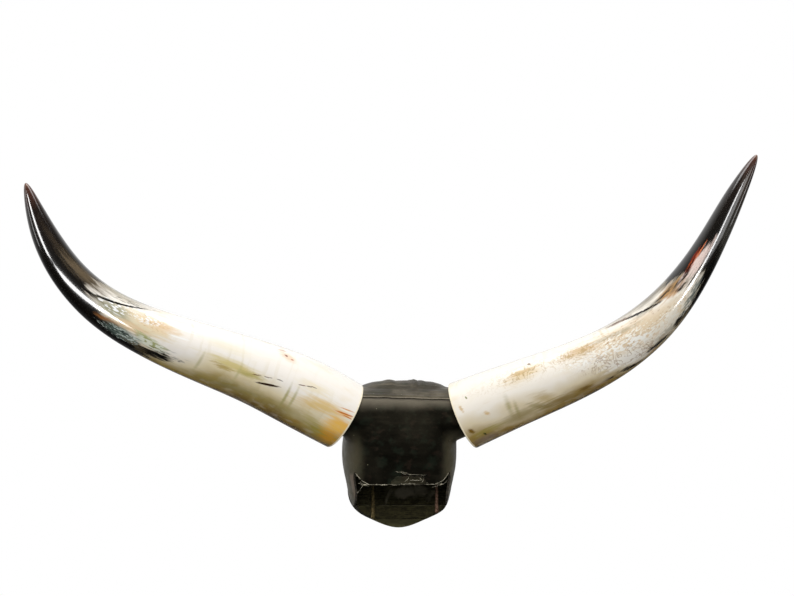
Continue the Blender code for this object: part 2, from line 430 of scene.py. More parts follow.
@dataclass(frozen=True)
class PolishedHorn:
    """Polished cattle horn: cream at the base, flecked ochre, black at the tip, under a hard gloss."""

    name: str
    crown: str
    # flank, belly and under darken the horn towards its underside: partly its own straw and brown, partly
    # painted shade
    flank: str
    belly: str
    under: str
    tip_start: Pairs  # where the black begins, as (fold from the top, share of the length)
    marks: tuple[Mark, ...]
    tip_marks: tuple[Mark, ...]  # those that lie over the black
    seed: float
    length: float
    pale_from: float  # the share of the length past which the underside pales

    def build(self, horn: HornSheath) -> Material:
        """Makes the material, with its patterns in the horn's own unrolled space.

        Args:
            horn: the horn it is for, which gives the girth at each mark.

        Returns:
            The material.
        """
        surface, tree, shader = new_surface(self.name)
        grain = add(tree, "ShaderNodeAttribute", attribute_name="grain").outputs["Vector"]
        place = add(tree, "ShaderNodeAttribute", attribute_name="place").outputs["Vector"]
        share, upward, forward = add(tree, "ShaderNodeSeparateXYZ", {0: place}).outputs
        angle = add(tree, "ShaderNodeMath", {0: forward, 1: upward}, operation="ARCTAN2")
        turn = add(tree, "ShaderNodeMath", {0: angle, 1: 1 / math.pi}, operation="MULTIPLY")
        fold = add(tree, "ShaderNodeMath", {0: turn}, operation="ABSOLUTE")
        unrolled = add(tree, "ShaderNodeCombineXYZ", {0: share, 1: turn})

        def drawn_out(along: float, across: float) -> Node:
            """The place in cells of a size in millimetres along and across the horn."""
            sizes = (1 / (along * MM), 1 / (across * MM), 1 / (across * MM))
            return add(tree, "ShaderNodeVectorMath", {0: grain, 1: sizes}, operation="MULTIPLY")

        def streaks(along: float, across: float, detail: float = 3.0, shift: float = 0.0) -> Node:
            """Noise about 0, drawn out along the horn.

            Args:
                along: its length in millimetres.
                across: its width in millimetres.
                detail: how finely it breaks up.
                shift: what sets it apart from the other streaks.

            Returns:
                The node that holds it.
            """
            drawn = drawn_out(along, across)
            keys = {"Vector": drawn, "W": self.seed + shift, "Scale": 1.0, "Detail": detail}
            pattern = add(tree, "ShaderNodeTexNoise", keys, noise_dimensions="4D")
            return add(tree, "ShaderNodeMath", {0: pattern, 1: 2.0, 2: -1.0}, operation="MULTIPLY_ADD")

        cloud = streaks(70, 40, 3)
        fibre = streaks(26, 2.6, 4, 3.1)
        thread = streaks(9, 0.9, 3, 7.7)
        fleck = streaks(5.5, 2.6, 3, 11.3)
        cluster = streaks(16, 8, 2, 51.0)

        def strokes(along: float, across: float) -> Node:
            """The distance from short strokes, which lie thick in some places and sparse in others.

            Args:
                along: their length in millimetres.
                across: their width in millimetres.

            Returns:
                The node that holds it.
            """
            keys = {"Vector": drawn_out(along, across), "Scale": 1.0}
            near = add(tree, "ShaderNodeTexVoronoi", keys, feature="F1")
            near = add(tree, "ShaderNodeMath", {0: cluster, 1: -0.55, 2: near}, operation="MULTIPLY_ADD")
            return add(tree, "ShaderNodeMath", {0: thread, 1: 0.25, 2: near}, operation="MULTIPLY_ADD")

        # Ivory on top, straw and brown below, in slow clouds: partly the horn's own colour, partly painted
        # shade on its underside
        height = add(tree, "ShaderNodeMath", {0: cloud, 1: 0.22, 2: fold}, operation="MULTIPLY_ADD")
        keys = {0: share, 1: self.pale_from - 0.08, 2: self.pale_from + 0.06, 3: 0.0, 4: 0.15}
        paler = add(tree, "ShaderNodeMapRange", keys, interpolation_type="SMOOTHSTEP")
        height = add(tree, "ShaderNodeMath", {0: height, 1: paler}, operation="SUBTRACT")
        layers = ((0.47, self.crown), (0.62, self.flank), (0.77, self.belly), (0.95, self.under))
        colour = add(tree, "ShaderNodeValToRGB", {0: height}, layers)
        colour = tinted(tree, colour, "#dcc596", fibre, 0.1, 0.9, 0.2)
        colour = tinted(tree, colour, "#e9d8b0", streaks(40, 22, 3, 41.0), 0.05, 0.5, 0.4)
        colour = tinted(tree, colour, "#fffdf8", thread, 0.25, 0.8, 0.3)
        colour = tinted(tree, colour, "#f1e8d3", cluster, 0.0, 0.4, 0.2)

        # Growth lines across the horn, faint all over and clearer in places
        run = add(tree, "ShaderNodeSeparateXYZ", {0: grain})
        waver = add(tree, "ShaderNodeMath", {0: cloud, 1: 0.012, 2: run}, operation="MULTIPLY_ADD")
        spaced = add(tree, "ShaderNodeMath", {0: waver, 1: 110.0}, operation="MULTIPLY")
        keys = {"W": spaced, "Scale": 1.0, "Detail": 1.0}
        lines = add(tree, "ShaderNodeTexNoise", keys, noise_dimensions="1D")
        clear: Any = 0.4
        for value, low, high in ((share, 0.6, 0.4), (streaks(45, 60, 1, 21.0), -0.1, 0.5)):
            keys = {0: value, 1: low, 2: high, 3: 0.0, 4: clear}
            clear = add(tree, "ShaderNodeMapRange", keys, interpolation_type="SMOOTHSTEP")
        colour = tinted(tree, colour, "#cdbb85", lines, 0.50, 0.72, clear)

        # What breaks up a patch: a pattern, and the levels at which it starts and ends
        keys = {"Vector": grain, "W": self.seed, "Scale": 85.0, "Detail": 2.0, "Distortion": 1.4}
        curls = add(tree, "ShaderNodeTexNoise", keys, noise_dimensions="4D")
        curls = add(tree, "ShaderNodeMath", {0: curls, 1: 0.5}, operation="SUBTRACT")
        curls = add(tree, "ShaderNodeMath", {0: curls}, operation="ABSOLUTE")
        keys = {0: cluster, 1: 0.3, 2: streaks(5.0, 1.8, 5, 31.0)}
        specks = add(tree, "ShaderNodeMath", keys, operation="MULTIPLY_ADD")
        broken = {
            Texture.FLECKS: (strokes(4.6, 1.9), 0.48, 0.36),
            Texture.DABS: (strokes(8.5, 2.2), 0.56, 0.42),
            Texture.SPECKS: (specks, 0.10, 0.36),
            Texture.THREADS: (streaks(14, 1.5, 4, 37.0), 0.02, 0.22),
            Texture.SQUIGGLES: (curls, 0.045, 0.012),
        }

        def marked(base: Node, marks: tuple[Mark, ...]) -> Node:
            """Lays marks over a colour, each an oval with a torn edge in the unrolled horn.

            Args:
                base: the colour so far.
                marks: the marks, the lowest first.

            Returns:
                The node that holds the new colour.
            """
            for mark in marks:
                girth = math.pi * horn.radius(mark.share)
                keys = {0: unrolled, 1: (self.length, girth, 0)}
                spread = add(tree, "ShaderNodeVectorMath", keys, operation="MULTIPLY")
                keys = {
                    "Vector": spread,
                    "Location": (mark.share * self.length, mark.turn * girth, 0),
                    "Rotation": (0, 0, math.radians(mark.tilt)),
                    "Scale": (mark.length, mark.width, 1),
                }
                local = add(tree, "ShaderNodeMapping", keys, vector_type="TEXTURE")
                distance = add(tree, "ShaderNodeVectorMath", {0: local}, operation="LENGTH")
                keys = {0: fibre if mark.width > 4 else thread, 1: mark.ragged * 1.6, 2: distance}
                torn = add(tree, "ShaderNodeMath", keys, operation="MULTIPLY_ADD")
                strength: Any = mark.strength
                if mark.texture in broken:
                    pattern, low, high = broken[mark.texture]
                    keys = {0: pattern, 1: low, 2: high, 3: 0.0, 4: mark.strength}
                    strength = add(tree, "ShaderNodeMapRange", keys, interpolation_type="SMOOTHSTEP")
                base = tinted(tree, base, mark.colour, torn, 1.0 + mark.soft / 2, 1.0 - mark.soft, strength)
            return base

        colour = marked(colour, self.marks)

        # The black of the tip, which runs back along the fibres
        starts = add(tree, "ShaderNodeValToRGB", {0: fold}, self.tip_start)
        starts.color_ramp.interpolation = "EASE"
        ahead = add(tree, "ShaderNodeMath", {0: share, 1: starts}, operation="SUBTRACT")
        for pattern, reach in ((streaks(60, 3.2, 4, 15.0), 0.085), (fleck, 0.012)):
            ahead = add(tree, "ShaderNodeMath", {0: pattern, 1: reach, 2: ahead}, operation="MULTIPLY_ADD")
        smoky = tinted(tree, colour, "#75684f", ahead, -0.05, 0.012, 0.75)
        shades = ((0.0, "#1a1712"), (0.8, "#15120f"), (0.93, "#1d1511"), (0.985, "#4a2c22"), (1.0, "#7c5c4b"))
        black = add(tree, "ShaderNodeValToRGB", {0: share}, shades)
        black = tinted(tree, black, "#3b2f20", fibre, 0.1, 0.8, 0.45)
        colour = marked(tinted(tree, smoky, black, ahead, -0.012, 0.018), self.tip_marks)

        # The sawn rim, painted pale cream: a painted highlight where its bevel catches the light
        colour = tinted(tree, colour, "#fff3d6", share, 0.0050, 0.0036, 0.9)

        rough = add(tree, "ShaderNodeMath", {0: fibre, 1: 0.02, 2: 0.18}, operation="MULTIPLY_ADD")
        bump = add(tree, "ShaderNodeBump", {"Strength": 0.03, "Distance": 0.0003, "Height": fibre})
        feed(shader, {"Base Color": colour, "Roughness": rough, "Normal": bump, "IOR": 1.55})
        feed(shader, {"Coat Weight": 0.9, "Coat Roughness": 0.06})
        return surface


@dataclass(frozen=True)
class SatinLeather:
    """Black cowhide, wiped and handled: a satin sheen on its curves, brown and olive dust, fine scuffs."""

    name: str
    base: str
    dust: str
    dust_amount: float
    roughness: float
    walls: str = ""  # the side walls' painted sheen, where there is one
    edge_highlight: float = 0.0  # the height in metres of a lower edge above which a pale line is painted as a highlight, if it has one
    grain_size: float = 1.3  # real grain is about 0.5 mm, drawn coarser so that it shows

    def build(self) -> Material:
        """Makes the material in object space.

        Returns:
            The material.
        """
        surface, tree, shader = new_surface(self.name)
        place = add(tree, "ShaderNodeTexCoord").outputs["Object"]
        across, depth, up = add(tree, "ShaderNodeSeparateXYZ", {0: place}).outputs

        def pattern(
            scale: float, detail: float, stretch: Sequence[float] = (1, 1, 1), roughness: float = 0.6
        ) -> Node:
            """Noise from 0 to 1.

            Args:
                scale: how often it repeats in a metre.
                detail: how finely it breaks up.
                stretch: under 1 along an axis where it is drawn out.
                roughness: how strong its fine detail is.

            Returns:
                The node that holds it.
            """
            drawn = add(tree, "ShaderNodeVectorMath", {0: place, 1: stretch}, operation="MULTIPLY")
            keys = {"Vector": drawn, "Scale": scale, "Detail": detail, "Roughness": roughness}
            return add(tree, "ShaderNodeTexNoise", keys)

        cloud = pattern(24.0, 5.0)
        streak = pattern(90.0, 5.0, (0.16, 1, 1), 0.66)
        scuff = pattern(330.0, 5.0, (0.5, 1, 1), 0.7)
        keys = {"Vector": place, "Scale": 1 / (self.grain_size * MM), "Randomness": 0.9}
        pebble = add(tree, "ShaderNodeTexVoronoi", keys, feature="SMOOTH_F1")
        colour = tinted(tree, self.base, "#1f2b22", pattern(60.0, 3.0), 0.50, 0.66, 0.4)
        colour = tinted(tree, colour, "#2e231d", pattern(75.0, 3.0, (1, 1, 1.6)), 0.54, 0.68, 0.4)
        colour = tinted(tree, colour, self.dust, cloud, 0.42, 0.72, self.dust_amount)
        colour = tinted(tree, colour, self.dust, streak, 0.54, 0.7, self.dust_amount * 0.9)
        if self.walls:
            colour = self.handled(tree, colour, cloud, (across, depth, up))
        if self.edge_highlight:
            # A pale line just above the lower edge, along the welt: painted highlight
            rise = add(tree, "ShaderNodeMath", {0: across, 1: 0.028, 2: up}, operation="MULTIPLY_ADD")
            edge = self.edge_highlight
            colour = tinted(tree, colour, "#81796a", rise, edge + 0.0024, edge + 0.0012, 0.75)
        colour = tinted(tree, colour, "#7d7565", scuff, 0.7, 0.78, 0.55)
        speck = add(tree, "ShaderNodeTexVoronoi", {"Vector": place, "Scale": 85.0}, feature="F1")
        colour = tinted(tree, colour, "#a3a084", speck, 0.06, 0.035, 0.8)
        keys = {0: streak, 1: 0.35, 2: 0.7, 3: self.roughness - 0.08, 4: self.roughness + 0.14}
        rough = add(tree, "ShaderNodeMapRange", keys)
        rise = add(tree, "ShaderNodeMath", {0: pebble, 1: -0.5, 2: scuff}, operation="MULTIPLY_ADD")
        rise = add(tree, "ShaderNodeMath", {0: streak, 1: 1.6, 2: rise}, operation="MULTIPLY_ADD")
        bump = add(tree, "ShaderNodeBump", {"Strength": 0.3, "Distance": 0.0006, "Height": rise})
        feed(shader, {"Base Color": colour, "Roughness": rough, "Normal": bump})
        feed(shader, {"Specular IOR Level": 0.36, "Specular Tint": "#efe0bd"})
        return surface

    def handled(self, tree: NodeTree, colour: Any, cloud: Any, place: tuple) -> Node:
        """Lightens the side walls below the horns and the crown of the head with painted sheen, and pales the
        torn left corner.

        Args:
            tree: the material's tree.
            colour: the colour so far.
            cloud: slow noise that makes the edges wander.
            place: how far across, how deep and how high a point lies.

        Returns:
            The node that holds the new colour.
        """
        across, depth, up = place
        aside = add(tree, "ShaderNodeMath", {0: across}, operation="ABSOLUTE")
        aside = add(tree, "ShaderNodeMath", {0: cloud, 1: 0.014, 2: aside}, operation="MULTIPLY_ADD")
        keys = {0: up, 1: 0.030, 2: 0.005, 3: 0.0, 4: 1.0}
        low_down = add(tree, "ShaderNodeMapRange", keys, interpolation_type="SMOOTHSTEP")
        # The side walls below the horns, lighter: painted sheen
        colour = tinted(tree, colour, self.walls, aside, 0.057, 0.074, low_down)
        corner: Any = 1.0
        for value, low, high in ((depth, -0.054, -0.062), (up, -0.031, -0.037), (up, -0.073, -0.066)):
            keys = {0: value, 1: low, 2: high, 3: 0.0, 4: corner}
            corner = add(tree, "ShaderNodeMapRange", keys, interpolation_type="SMOOTHSTEP")
        colour = tinted(tree, colour, "#77695a", across, -0.060, -0.066, corner)
        # The crown under the band, lighter where it curves back: painted sheen
        crown = add(tree, "ShaderNodeMath", {0: cloud, 1: 0.012, 2: up}, operation="MULTIPLY_ADD")
        return tinted(tree, colour, "#6c665b", crown, 0.055, 0.077, 0.85)


@dataclass(frozen=True)
class RawLeatherEdge:
    """The cut edge of the hide: undyed, dry and fibrous, so it shows as a pale ragged line."""

    name: str
    pale: str
    dark: str

    def build(self) -> Material:
        """Makes the material in object space.

        Returns:
            The material.
        """
        surface, tree, shader = new_surface(self.name)
        place = add(tree, "ShaderNodeTexCoord").outputs["Object"]
        keys = {"Vector": place, "Scale": 420.0, "Detail": 6.0, "Roughness": 0.7}
        fuzz = add(tree, "ShaderNodeTexNoise", keys)
        colour = add(tree, "ShaderNodeValToRGB", {0: fuzz}, ((0.35, self.dark), (0.7, self.pale)))
        bump = add(tree, "ShaderNodeBump", {"Strength": 0.6, "Distance": 0.0006, "Height": fuzz})
        feed(shader, {"Base Color": colour, "Roughness": 0.9, "Normal": bump})
        return surface


@dataclass(frozen=True)
class Wood:
    """Sawn softwood, stained or raw: long grain with darker late wood, dry pores and handling dirt."""

    name: str
    light: str
    dark: str
    roughness: float = 0.6
    grain_axis: int = 0  # 0 across, 1 in depth, 2 up
    ring_width: float = 3.0
    swirl_reflection: str = ""  # a pale swirl painted on as a reflection in the hollow under the lip, where there is one
    worn_above: float = 1.0  # the height in metres above which the edge is rubbed lighter
    lighter_below: float = -1.0  # the height in metres below which it is painted lighter

    def build(self) -> Material:
        """Makes the material, with the grain drawn out along its axis.

        Returns:
            The material.
        """
        surface, tree, shader = new_surface(self.name)
        place = add(tree, "ShaderNodeTexCoord").outputs["Object"]
        stretch = [1.0, 1.0, 1.0]
        stretch[self.grain_axis] = 0.12
        drawn = add(tree, "ShaderNodeVectorMath", {0: place, 1: stretch}, operation="MULTIPLY")
        warp = add(tree, "ShaderNodeTexNoise", {"Vector": drawn, "Scale": 26.0, "Detail": 3.0})
        keys = {0: warp.outputs["Color"], 1: (0.02, 0.02, 0.02), 2: drawn}
        bent = add(tree, "ShaderNodeVectorMath", keys, operation="MULTIPLY_ADD")
        keys = {"Vector": bent, "Scale": 1 / (self.ring_width * MM), "Detail": 4.0, "Roughness": 0.65}
        rings = add(tree, "ShaderNodeTexNoise", keys)
        pores = add(tree, "ShaderNodeTexNoise", {"Vector": drawn, "Scale": 1400.0, "Detail": 3.0})
        keys = {"Vector": place, "Scale": 170.0, "Detail": 4.0, "Roughness": 0.7}
        mottle = add(tree, "ShaderNodeTexNoise", keys)
        late = ((0.32, self.dark), (0.5, self.light), (0.66, self.dark))
        colour = add(tree, "ShaderNodeValToRGB", {0: rings}, late)
        colour = tinted(tree, colour, self.dark, pores, 0.55, 0.7, 0.6)
        colour = tinted(tree, colour, self.dark, mottle, 0.45, 0.62, 0.7)
        if self.swirl_reflection:
            # A pale swirl on the board's face in the hollow under the lip: painted reflection
            keys = {"Vector": place, "Scale": 30.0, "Detail": 3.0, "Distortion": 0.9}
            curls = add(tree, "ShaderNodeTexNoise", keys)
            middle = (0.010, -0.018, -0.062)
            away = add(tree, "ShaderNodeVectorMath", {0: place, 1: middle}, operation="SUBTRACT")
            sized = add(tree, "ShaderNodeVectorMath", {0: away, 1: (24, 24, 55)}, operation="MULTIPLY")
            reach = add(tree, "ShaderNodeVectorMath", {0: sized}, operation="LENGTH")
            swirl = add(tree, "ShaderNodeMath", {0: reach, 1: -0.28, 2: curls}, operation="MULTIPLY_ADD")
            colour = tinted(tree, colour, self.swirl_reflection, swirl, 0.26, 0.46, 0.8)
        up = add(tree, "ShaderNodeSeparateXYZ", {0: place}).outputs[2]
        # Painted lighter below that height, on the strip of board under the rail
        if self.lighter_below > -1:
            colour = tinted(tree, colour, "#6f6b4b", up, self.lighter_below, self.lighter_below - 0.004, 0.6)
        if self.worn_above < 1:
            ragged = add(tree, "ShaderNodeMath", {0: mottle, 1: 0.004, 2: up}, operation="MULTIPLY_ADD")
            edge = self.worn_above
            colour = tinted(tree, colour, "#6a6650", ragged, edge + 0.0029, edge + 0.0038, 0.5)
        keys = {0: rings, 1: 0.3, 2: self.roughness - 0.15}
        rough = add(tree, "ShaderNodeMath", keys, operation="MULTIPLY_ADD")
        height = add(tree, "ShaderNodeMath", {0: pores, 1: 0.6, 2: rings}, operation="MULTIPLY_ADD")
        bump = add(tree, "ShaderNodeBump", {"Strength": 0.4, "Distance": 0.0006, "Height": height})
        feed(shader, {"Base Color": colour, "Roughness": rough, "Normal": bump})
        feed(shader, {"Specular IOR Level": 0.25, "Specular Tint": "#e8dcae"})
        return surface


@dataclass(frozen=True)
class WaxedThread:
    """Old waxed linen thread and torn hide fibre: pale, dry and a little grey where it has been handled."""

    name: str = "frayed_thread"
    pale: str = "#bdb69f"
    soiled: str = "#57513f"

    def build(self) -> Material:
        """Makes the material in object space.

        Returns:
            The material.
        """
        surface, tree, shader = new_surface(self.name)
        place = add(tree, "ShaderNodeTexCoord").outputs["Object"]
        keys = {"Vector": place, "Scale": 130.0, "Detail": 4.0, "Roughness": 0.7}
        soil = add(tree, "ShaderNodeTexNoise", keys)
        colour = add(tree, "ShaderNodeValToRGB", {0: soil}, ((0.38, self.soiled), (0.56, self.pale)))
        ply = add(tree, "ShaderNodeTexNoise", {"Vector": place, "Scale": 2600.0, "Detail": 1.0})
        bump = add(tree, "ShaderNodeBump", {"Strength": 0.4, "Distance": 0.0002, "Height": ply})
        feed(shader, {"Base Color": colour, "Roughness": 0.8, "Sheen Weight": 0.2, "Normal": bump})
        return surface


@dataclass(frozen=True)
class CopperedSteel:
    """Copper-washed steel rod, handled and half tarnished: warm metal with dull olive-brown patches."""

    name: str
    bright: str
    tarnish: str

    def build(self) -> Material:
        """Makes the material in object space.

        Returns:
            The material.
        """
        surface, tree, shader = new_surface(self.name)
        place = add(tree, "ShaderNodeTexCoord").outputs["Object"]
        keys = {"Vector": place, "Scale": 260.0, "Detail": 5.0, "Roughness": 0.65}
        patch = add(tree, "ShaderNodeTexNoise", keys)
        shades = ((0.36, self.tarnish), (0.6, self.bright), (0.72, "#c9ae8c"))
        colour = add(tree, "ShaderNodeValToRGB", {0: patch}, shades)
        rough = add(tree, "ShaderNodeMapRange", {0: patch, 1: 0.35, 2: 0.65, 3: 0.6, 4: 0.34})
        bump = add(tree, "ShaderNodeBump", {"Strength": 0.3, "Distance": 0.0002, "Height": patch})
        feed(shader, {"Base Color": colour, "Metallic": 0.8, "Roughness": rough, "Normal": bump})
        return surface


@dataclass
class HornSheath:
    """One horn, from the hollow in its sawn base out to the tip, swept along its centreline."""

    side: Side
    path: tuple[tuple[float, float, float], ...]
    stoutness: Pairs
    oval: float = 0.95
    rings: int = 250
    sides: int = 112
    base_sides: int = 48
    crowding: float = 1.35
    rim_bevel: float = 0.8
    hollow: Pairs = ((0.0, 5.0), (36.0, 10.0), (104.0, 18.0))
    relief: float = 1.1
    length: float = field(init=False)

    def __post_init__(self) -> None:
        """Measures the centreline."""
        points = np.array(self.path, float)
        chord = np.r_[0, np.cumsum(np.linalg.norm(np.diff(points, axis=0), axis=1))]
        self._places = spline(chord / chord[-1], points)(np.linspace(0, 1, 400))
        travel = np.r_[0, np.cumsum(np.linalg.norm(np.diff(self._places, axis=0), axis=1))]
        self.length = float(travel[-1])
        self._share = travel / self.length
        self._stoutness = station_curve(self.stoutness)

    @property
    def name(self) -> str:
        """The CAD node that the horn stands for."""
        return f"{self.side.value}_horn"

    def centre(self, share: float) -> np.ndarray:
        """The centreline's point at that share of the length."""
        return np.array([np.interp(share, self._share, self._places[:, i]) for i in range(3)])

    def radius(self, share: float) -> float:
        """Half the horn's height there."""
        return float(self._stoutness(share)) * math.sqrt(max(1 - share, 0))

    def axes(self, share: float) -> tuple[np.ndarray, np.ndarray, np.ndarray]:
        """The horn's own directions at a place.

        Args:
            share: the place, as a share of the length.

        Returns:
            Along towards the tip, up across it, and back towards the wall.
        """
        step = 0.01
        along = self.centre(min(share + step, 1)) - self.centre(max(share - step, 0))
        along /= np.linalg.norm(along)
        back = np.array([0.0, 1.0, 0.0]) - along[1] * along
        back /= np.linalg.norm(back)
        up = np.cross(along, back)
        return along, up if up[2] > 0 else -up, back

    def ring_before_base(
        self, distance: float, high: float, deep: float, rise: float = 0.0, fullness: float = 2.0
    ) -> list[np.ndarray]:
        """An oval ring of points parallel to the sawn base.

        Args:
            distance: how far it is from the base, above 0 towards the head.
            high: its half-height.
            deep: its half-depth.
            rise: how far it lies above the horn's axis.
            fullness: 2 for an ellipse, and more for a squarer oval.

        Returns:
            The points.
        """
        along, up, back = self.axes(0)
        middle = self.centre(0) + rise * up - distance * along
        ring = []
        for turn in np.linspace(0, 2 * math.pi, self.base_sides, endpoint=False):
            c, s = (math.copysign(abs(v) ** (2 / fullness), v) for v in (math.cos(turn), math.sin(turn)))
            ring.append(middle + high * c * up + deep * s * back)
        return ring

    def ring_table(self) -> np.ndarray:
        """The rings that the sweep runs through, from the hollow's end round the rim to the tip.

        Returns:
            Rows of (share of the length, radius, 1 on the outside or 0 in the hollow).
        """
        depth = self.hollow[-1][0]
        wall = station_curve(self.hollow)
        rows = [(depth / self.length, 0.0, 0.0)]
        for d in np.linspace(depth, 0, 12):
            rows.append((d / self.length, self.radius(0) - float(wall(d)), 0.0))
        base = self.radius(0)
        for turn in np.linspace(0, math.pi / 2, 4):
            inset = self.rim_bevel * (1 - math.sin(turn))
            back = self.rim_bevel * (1 - math.cos(turn))
            rows.append((back / self.length, base - inset, 1.0 if turn > 1 else 0.0))
        start = 2.5 / self.length
        for i in range(self.rings):
            share = start + (1 - start) * (1 - (1 - i / self.rings) ** self.crowding)
            rows.append((share, self.radius(share), 1.0))
        rows.append((1.0, 0.0, 0.0))
        return np.array(rows)

    def sweep_tree(self) -> NodeTree:
        """Makes Geometry Nodes that sweep an oval through the rings and write where on the horn a point lies.

        Returns:
            The tree.
        """
        kinds = {
            "Sides": "NodeSocketInt",
            "Oval": "NodeSocketFloat",
            "Relief": "NodeSocketFloat",
            "Seed": "NodeSocketFloat",
            "Turned": "NodeSocketBool",
            "Finish": "NodeSocketMaterial",
        }
        tree, source = new_modifier_tree("horn_sweep", kinds)
        path = source.outputs["Geometry"]
        count = add(tree, "GeometryNodeAttributeDomainSize", {0: path}, component="MESH")
        columns = add(tree, "ShaderNodeMath", {0: source.outputs["Sides"], 1: 1.0}, operation="ADD")
        keys = {"Size X": 1.0, "Size Y": 1.0, "Vertices X": count, "Vertices Y": columns}
        grid = add(tree, "GeometryNodeMeshGrid", keys)
        here = add(tree, "ShaderNodeSeparateXYZ", {0: add(tree, "GeometryNodeInputPosition")}).outputs
        last = add(tree, "ShaderNodeMath", {0: count, 1: 1.0}, operation="SUBTRACT")
        row = add(tree, "ShaderNodeMapRange", {0: here["X"], 1: -0.5, 2: 0.5, 3: 0.0, 4: last})
        row = add(tree, "ShaderNodeMath", {0: row}, operation="ROUND")
        turn = add(tree, "ShaderNodeMapRange", {0: here["Y"], 1: -0.5, 2: 0.5, 3: 0.0, 4: 2 * math.pi})

        def sampled(label: str, kind: str) -> Node:
            """The value that the path's point of this row holds.

            Args:
                label: the attribute's name.
                kind: its data type.

            Returns:
                The node that holds it.
            """
            value = add(tree, "GeometryNodeInputNamedAttribute", {"Name": label}, data_type=kind)
            keys = {"Geometry": path, "Value": value, "Index": row}
            return add(tree, "GeometryNodeSampleIndex", keys, data_type=kind, domain="POINT")

        centre, up, back = (sampled(label, "FLOAT_VECTOR") for label in ("middle", "up", "back"))
        reach, share, skin = (sampled(label, "FLOAT") for label in ("reach", "share", "skin"))
        cosine, sine = (add(tree, "ShaderNodeMath", {0: turn}, operation=kind) for kind in ("COSINE", "SINE"))
        place = add(tree, "ShaderNodeCombineXYZ", {0: share, 1: cosine, 2: sine})
        size = add(tree, "ShaderNodeCombineXYZ", {0: self.length * MM, 1: reach, 2: reach})
        grain = add(tree, "ShaderNodeVectorMath", {0: place, 1: size}, operation="MULTIPLY")

        # Shallow flutes, which fade where the horn is thin and leave the hollow smooth
        stretched = add(tree, "ShaderNodeVectorMath", {0: grain, 1: (7.0, 30.0, 30.0)}, operation="MULTIPLY")
        keys = {"Vector": stretched, "W": source.outputs["Seed"], "Scale": 1.0}
        flutes = add(tree, "ShaderNodeTexNoise", keys, noise_dimensions="4D")
        flutes = add(tree, "ShaderNodeMath", {0: flutes, 1: 0.5}, operation="SUBTRACT")
        keys = {0: reach, 1: 0.0, 2: 0.02, 3: 0.0, 4: source.outputs["Relief"]}
        relief = add(tree, "ShaderNodeMapRange", keys)
        relief = add(tree, "ShaderNodeMath", {0: relief, 1: skin}, operation="MULTIPLY")
        grown = add(tree, "ShaderNodeMath", {0: flutes, 1: relief, 2: reach}, operation="MULTIPLY_ADD")
        depth = add(tree, "ShaderNodeMath", {0: grown, 1: source.outputs["Oval"]}, operation="MULTIPLY")
        spot = centre
        for axis, swing, extent, way in ((up, cosine, grown, "ADD"), (back, sine, depth, "SUBTRACT")):
            far = add(tree, "ShaderNodeMath", {0: extent, 1: swing}, operation="MULTIPLY")
            step = add(tree, "ShaderNodeVectorMath", {0: axis, "Scale": far}, operation="SCALE")
            spot = add(tree, "ShaderNodeVectorMath", {0: spot, 1: step}, operation=way)

        layers = (
            ("grain", "FLOAT_VECTOR", "POINT", grain),
            ("place", "FLOAT_VECTOR", "POINT", place),
            ("UVMap", "FLOAT2", "CORNER", grid.outputs["UV Map"]),
        )
        flow: Any = grid  # the layers read the flat grid, so they are stored before it is shaped
        for label, kind, domain, value in layers:
            keys = {"Geometry": flow, "Name": label, "Value": value}
            flow = add(tree, "GeometryNodeStoreNamedAttribute", keys, data_type=kind, domain=domain)
        flow = add(tree, "GeometryNodeSetPosition", {"Geometry": flow, "Position": spot})
        flow = add(tree, "GeometryNodeMergeByDistance", {"Geometry": flow, "Distance": 0.00001})
        flow = add(tree, "GeometryNodeFlipFaces", {"Mesh": flow, "Selection": source.outputs["Turned"]})
        flow = add(tree, "GeometryNodeSetShadeSmooth", {"Geometry": flow})
        flow = add(tree, "GeometryNodeRealizeInstances", {"Geometry": flow})
        flow = add(tree, "GeometryNodeSetMaterial", {"Geometry": flow, "Material": source.outputs["Finish"]})
        add(tree, "NodeGroupOutput", {0: flow})
        return tree

    def build(self, finish: PolishedHorn) -> Object:
        """Makes the horn's mesh and dresses it.

        Args:
            finish: the horn's material.

        Returns:
            The finished piece.
        """
        table = self.ring_table()
        frames = [self.axes(share) for share in table[:, 0]]
        middles = np.array([self.centre(share) for share in table[:, 0]]) * MM
        mesh = bpy.data.meshes.new("path")
        mesh.from_pydata([tuple(p) for p in middles], [], [])
        vectors = {"middle": middles, "up": [f[1] for f in frames], "back": [f[2] for f in frames]}
        for label, values in vectors.items():
            layer = mesh.attributes.new(label, "FLOAT_VECTOR", "POINT")
            layer.data.foreach_set("vector", np.array(values, float).ravel())
        for label, values in {"share": table[:, 0], "reach": table[:, 1] * MM, "skin": table[:, 2]}.items():
            layer = mesh.attributes.new(label, "FLOAT", "POINT")
            layer.data.foreach_set("value", values)
        path = link_object("path", mesh)
        values = {
            "Sides": self.sides,
            "Oval": self.oval,
            "Relief": self.relief * MM,
            "Seed": finish.seed,
            "Turned": self.side is Side.RIGHT,
            "Finish": finish.build(self),
        }
        nodes_modifier(path, self.sweep_tree(), values)
        piece = baked(path, f"{self.name}_sheath")
        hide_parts(self.name)
        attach(piece, "root")
        return piece


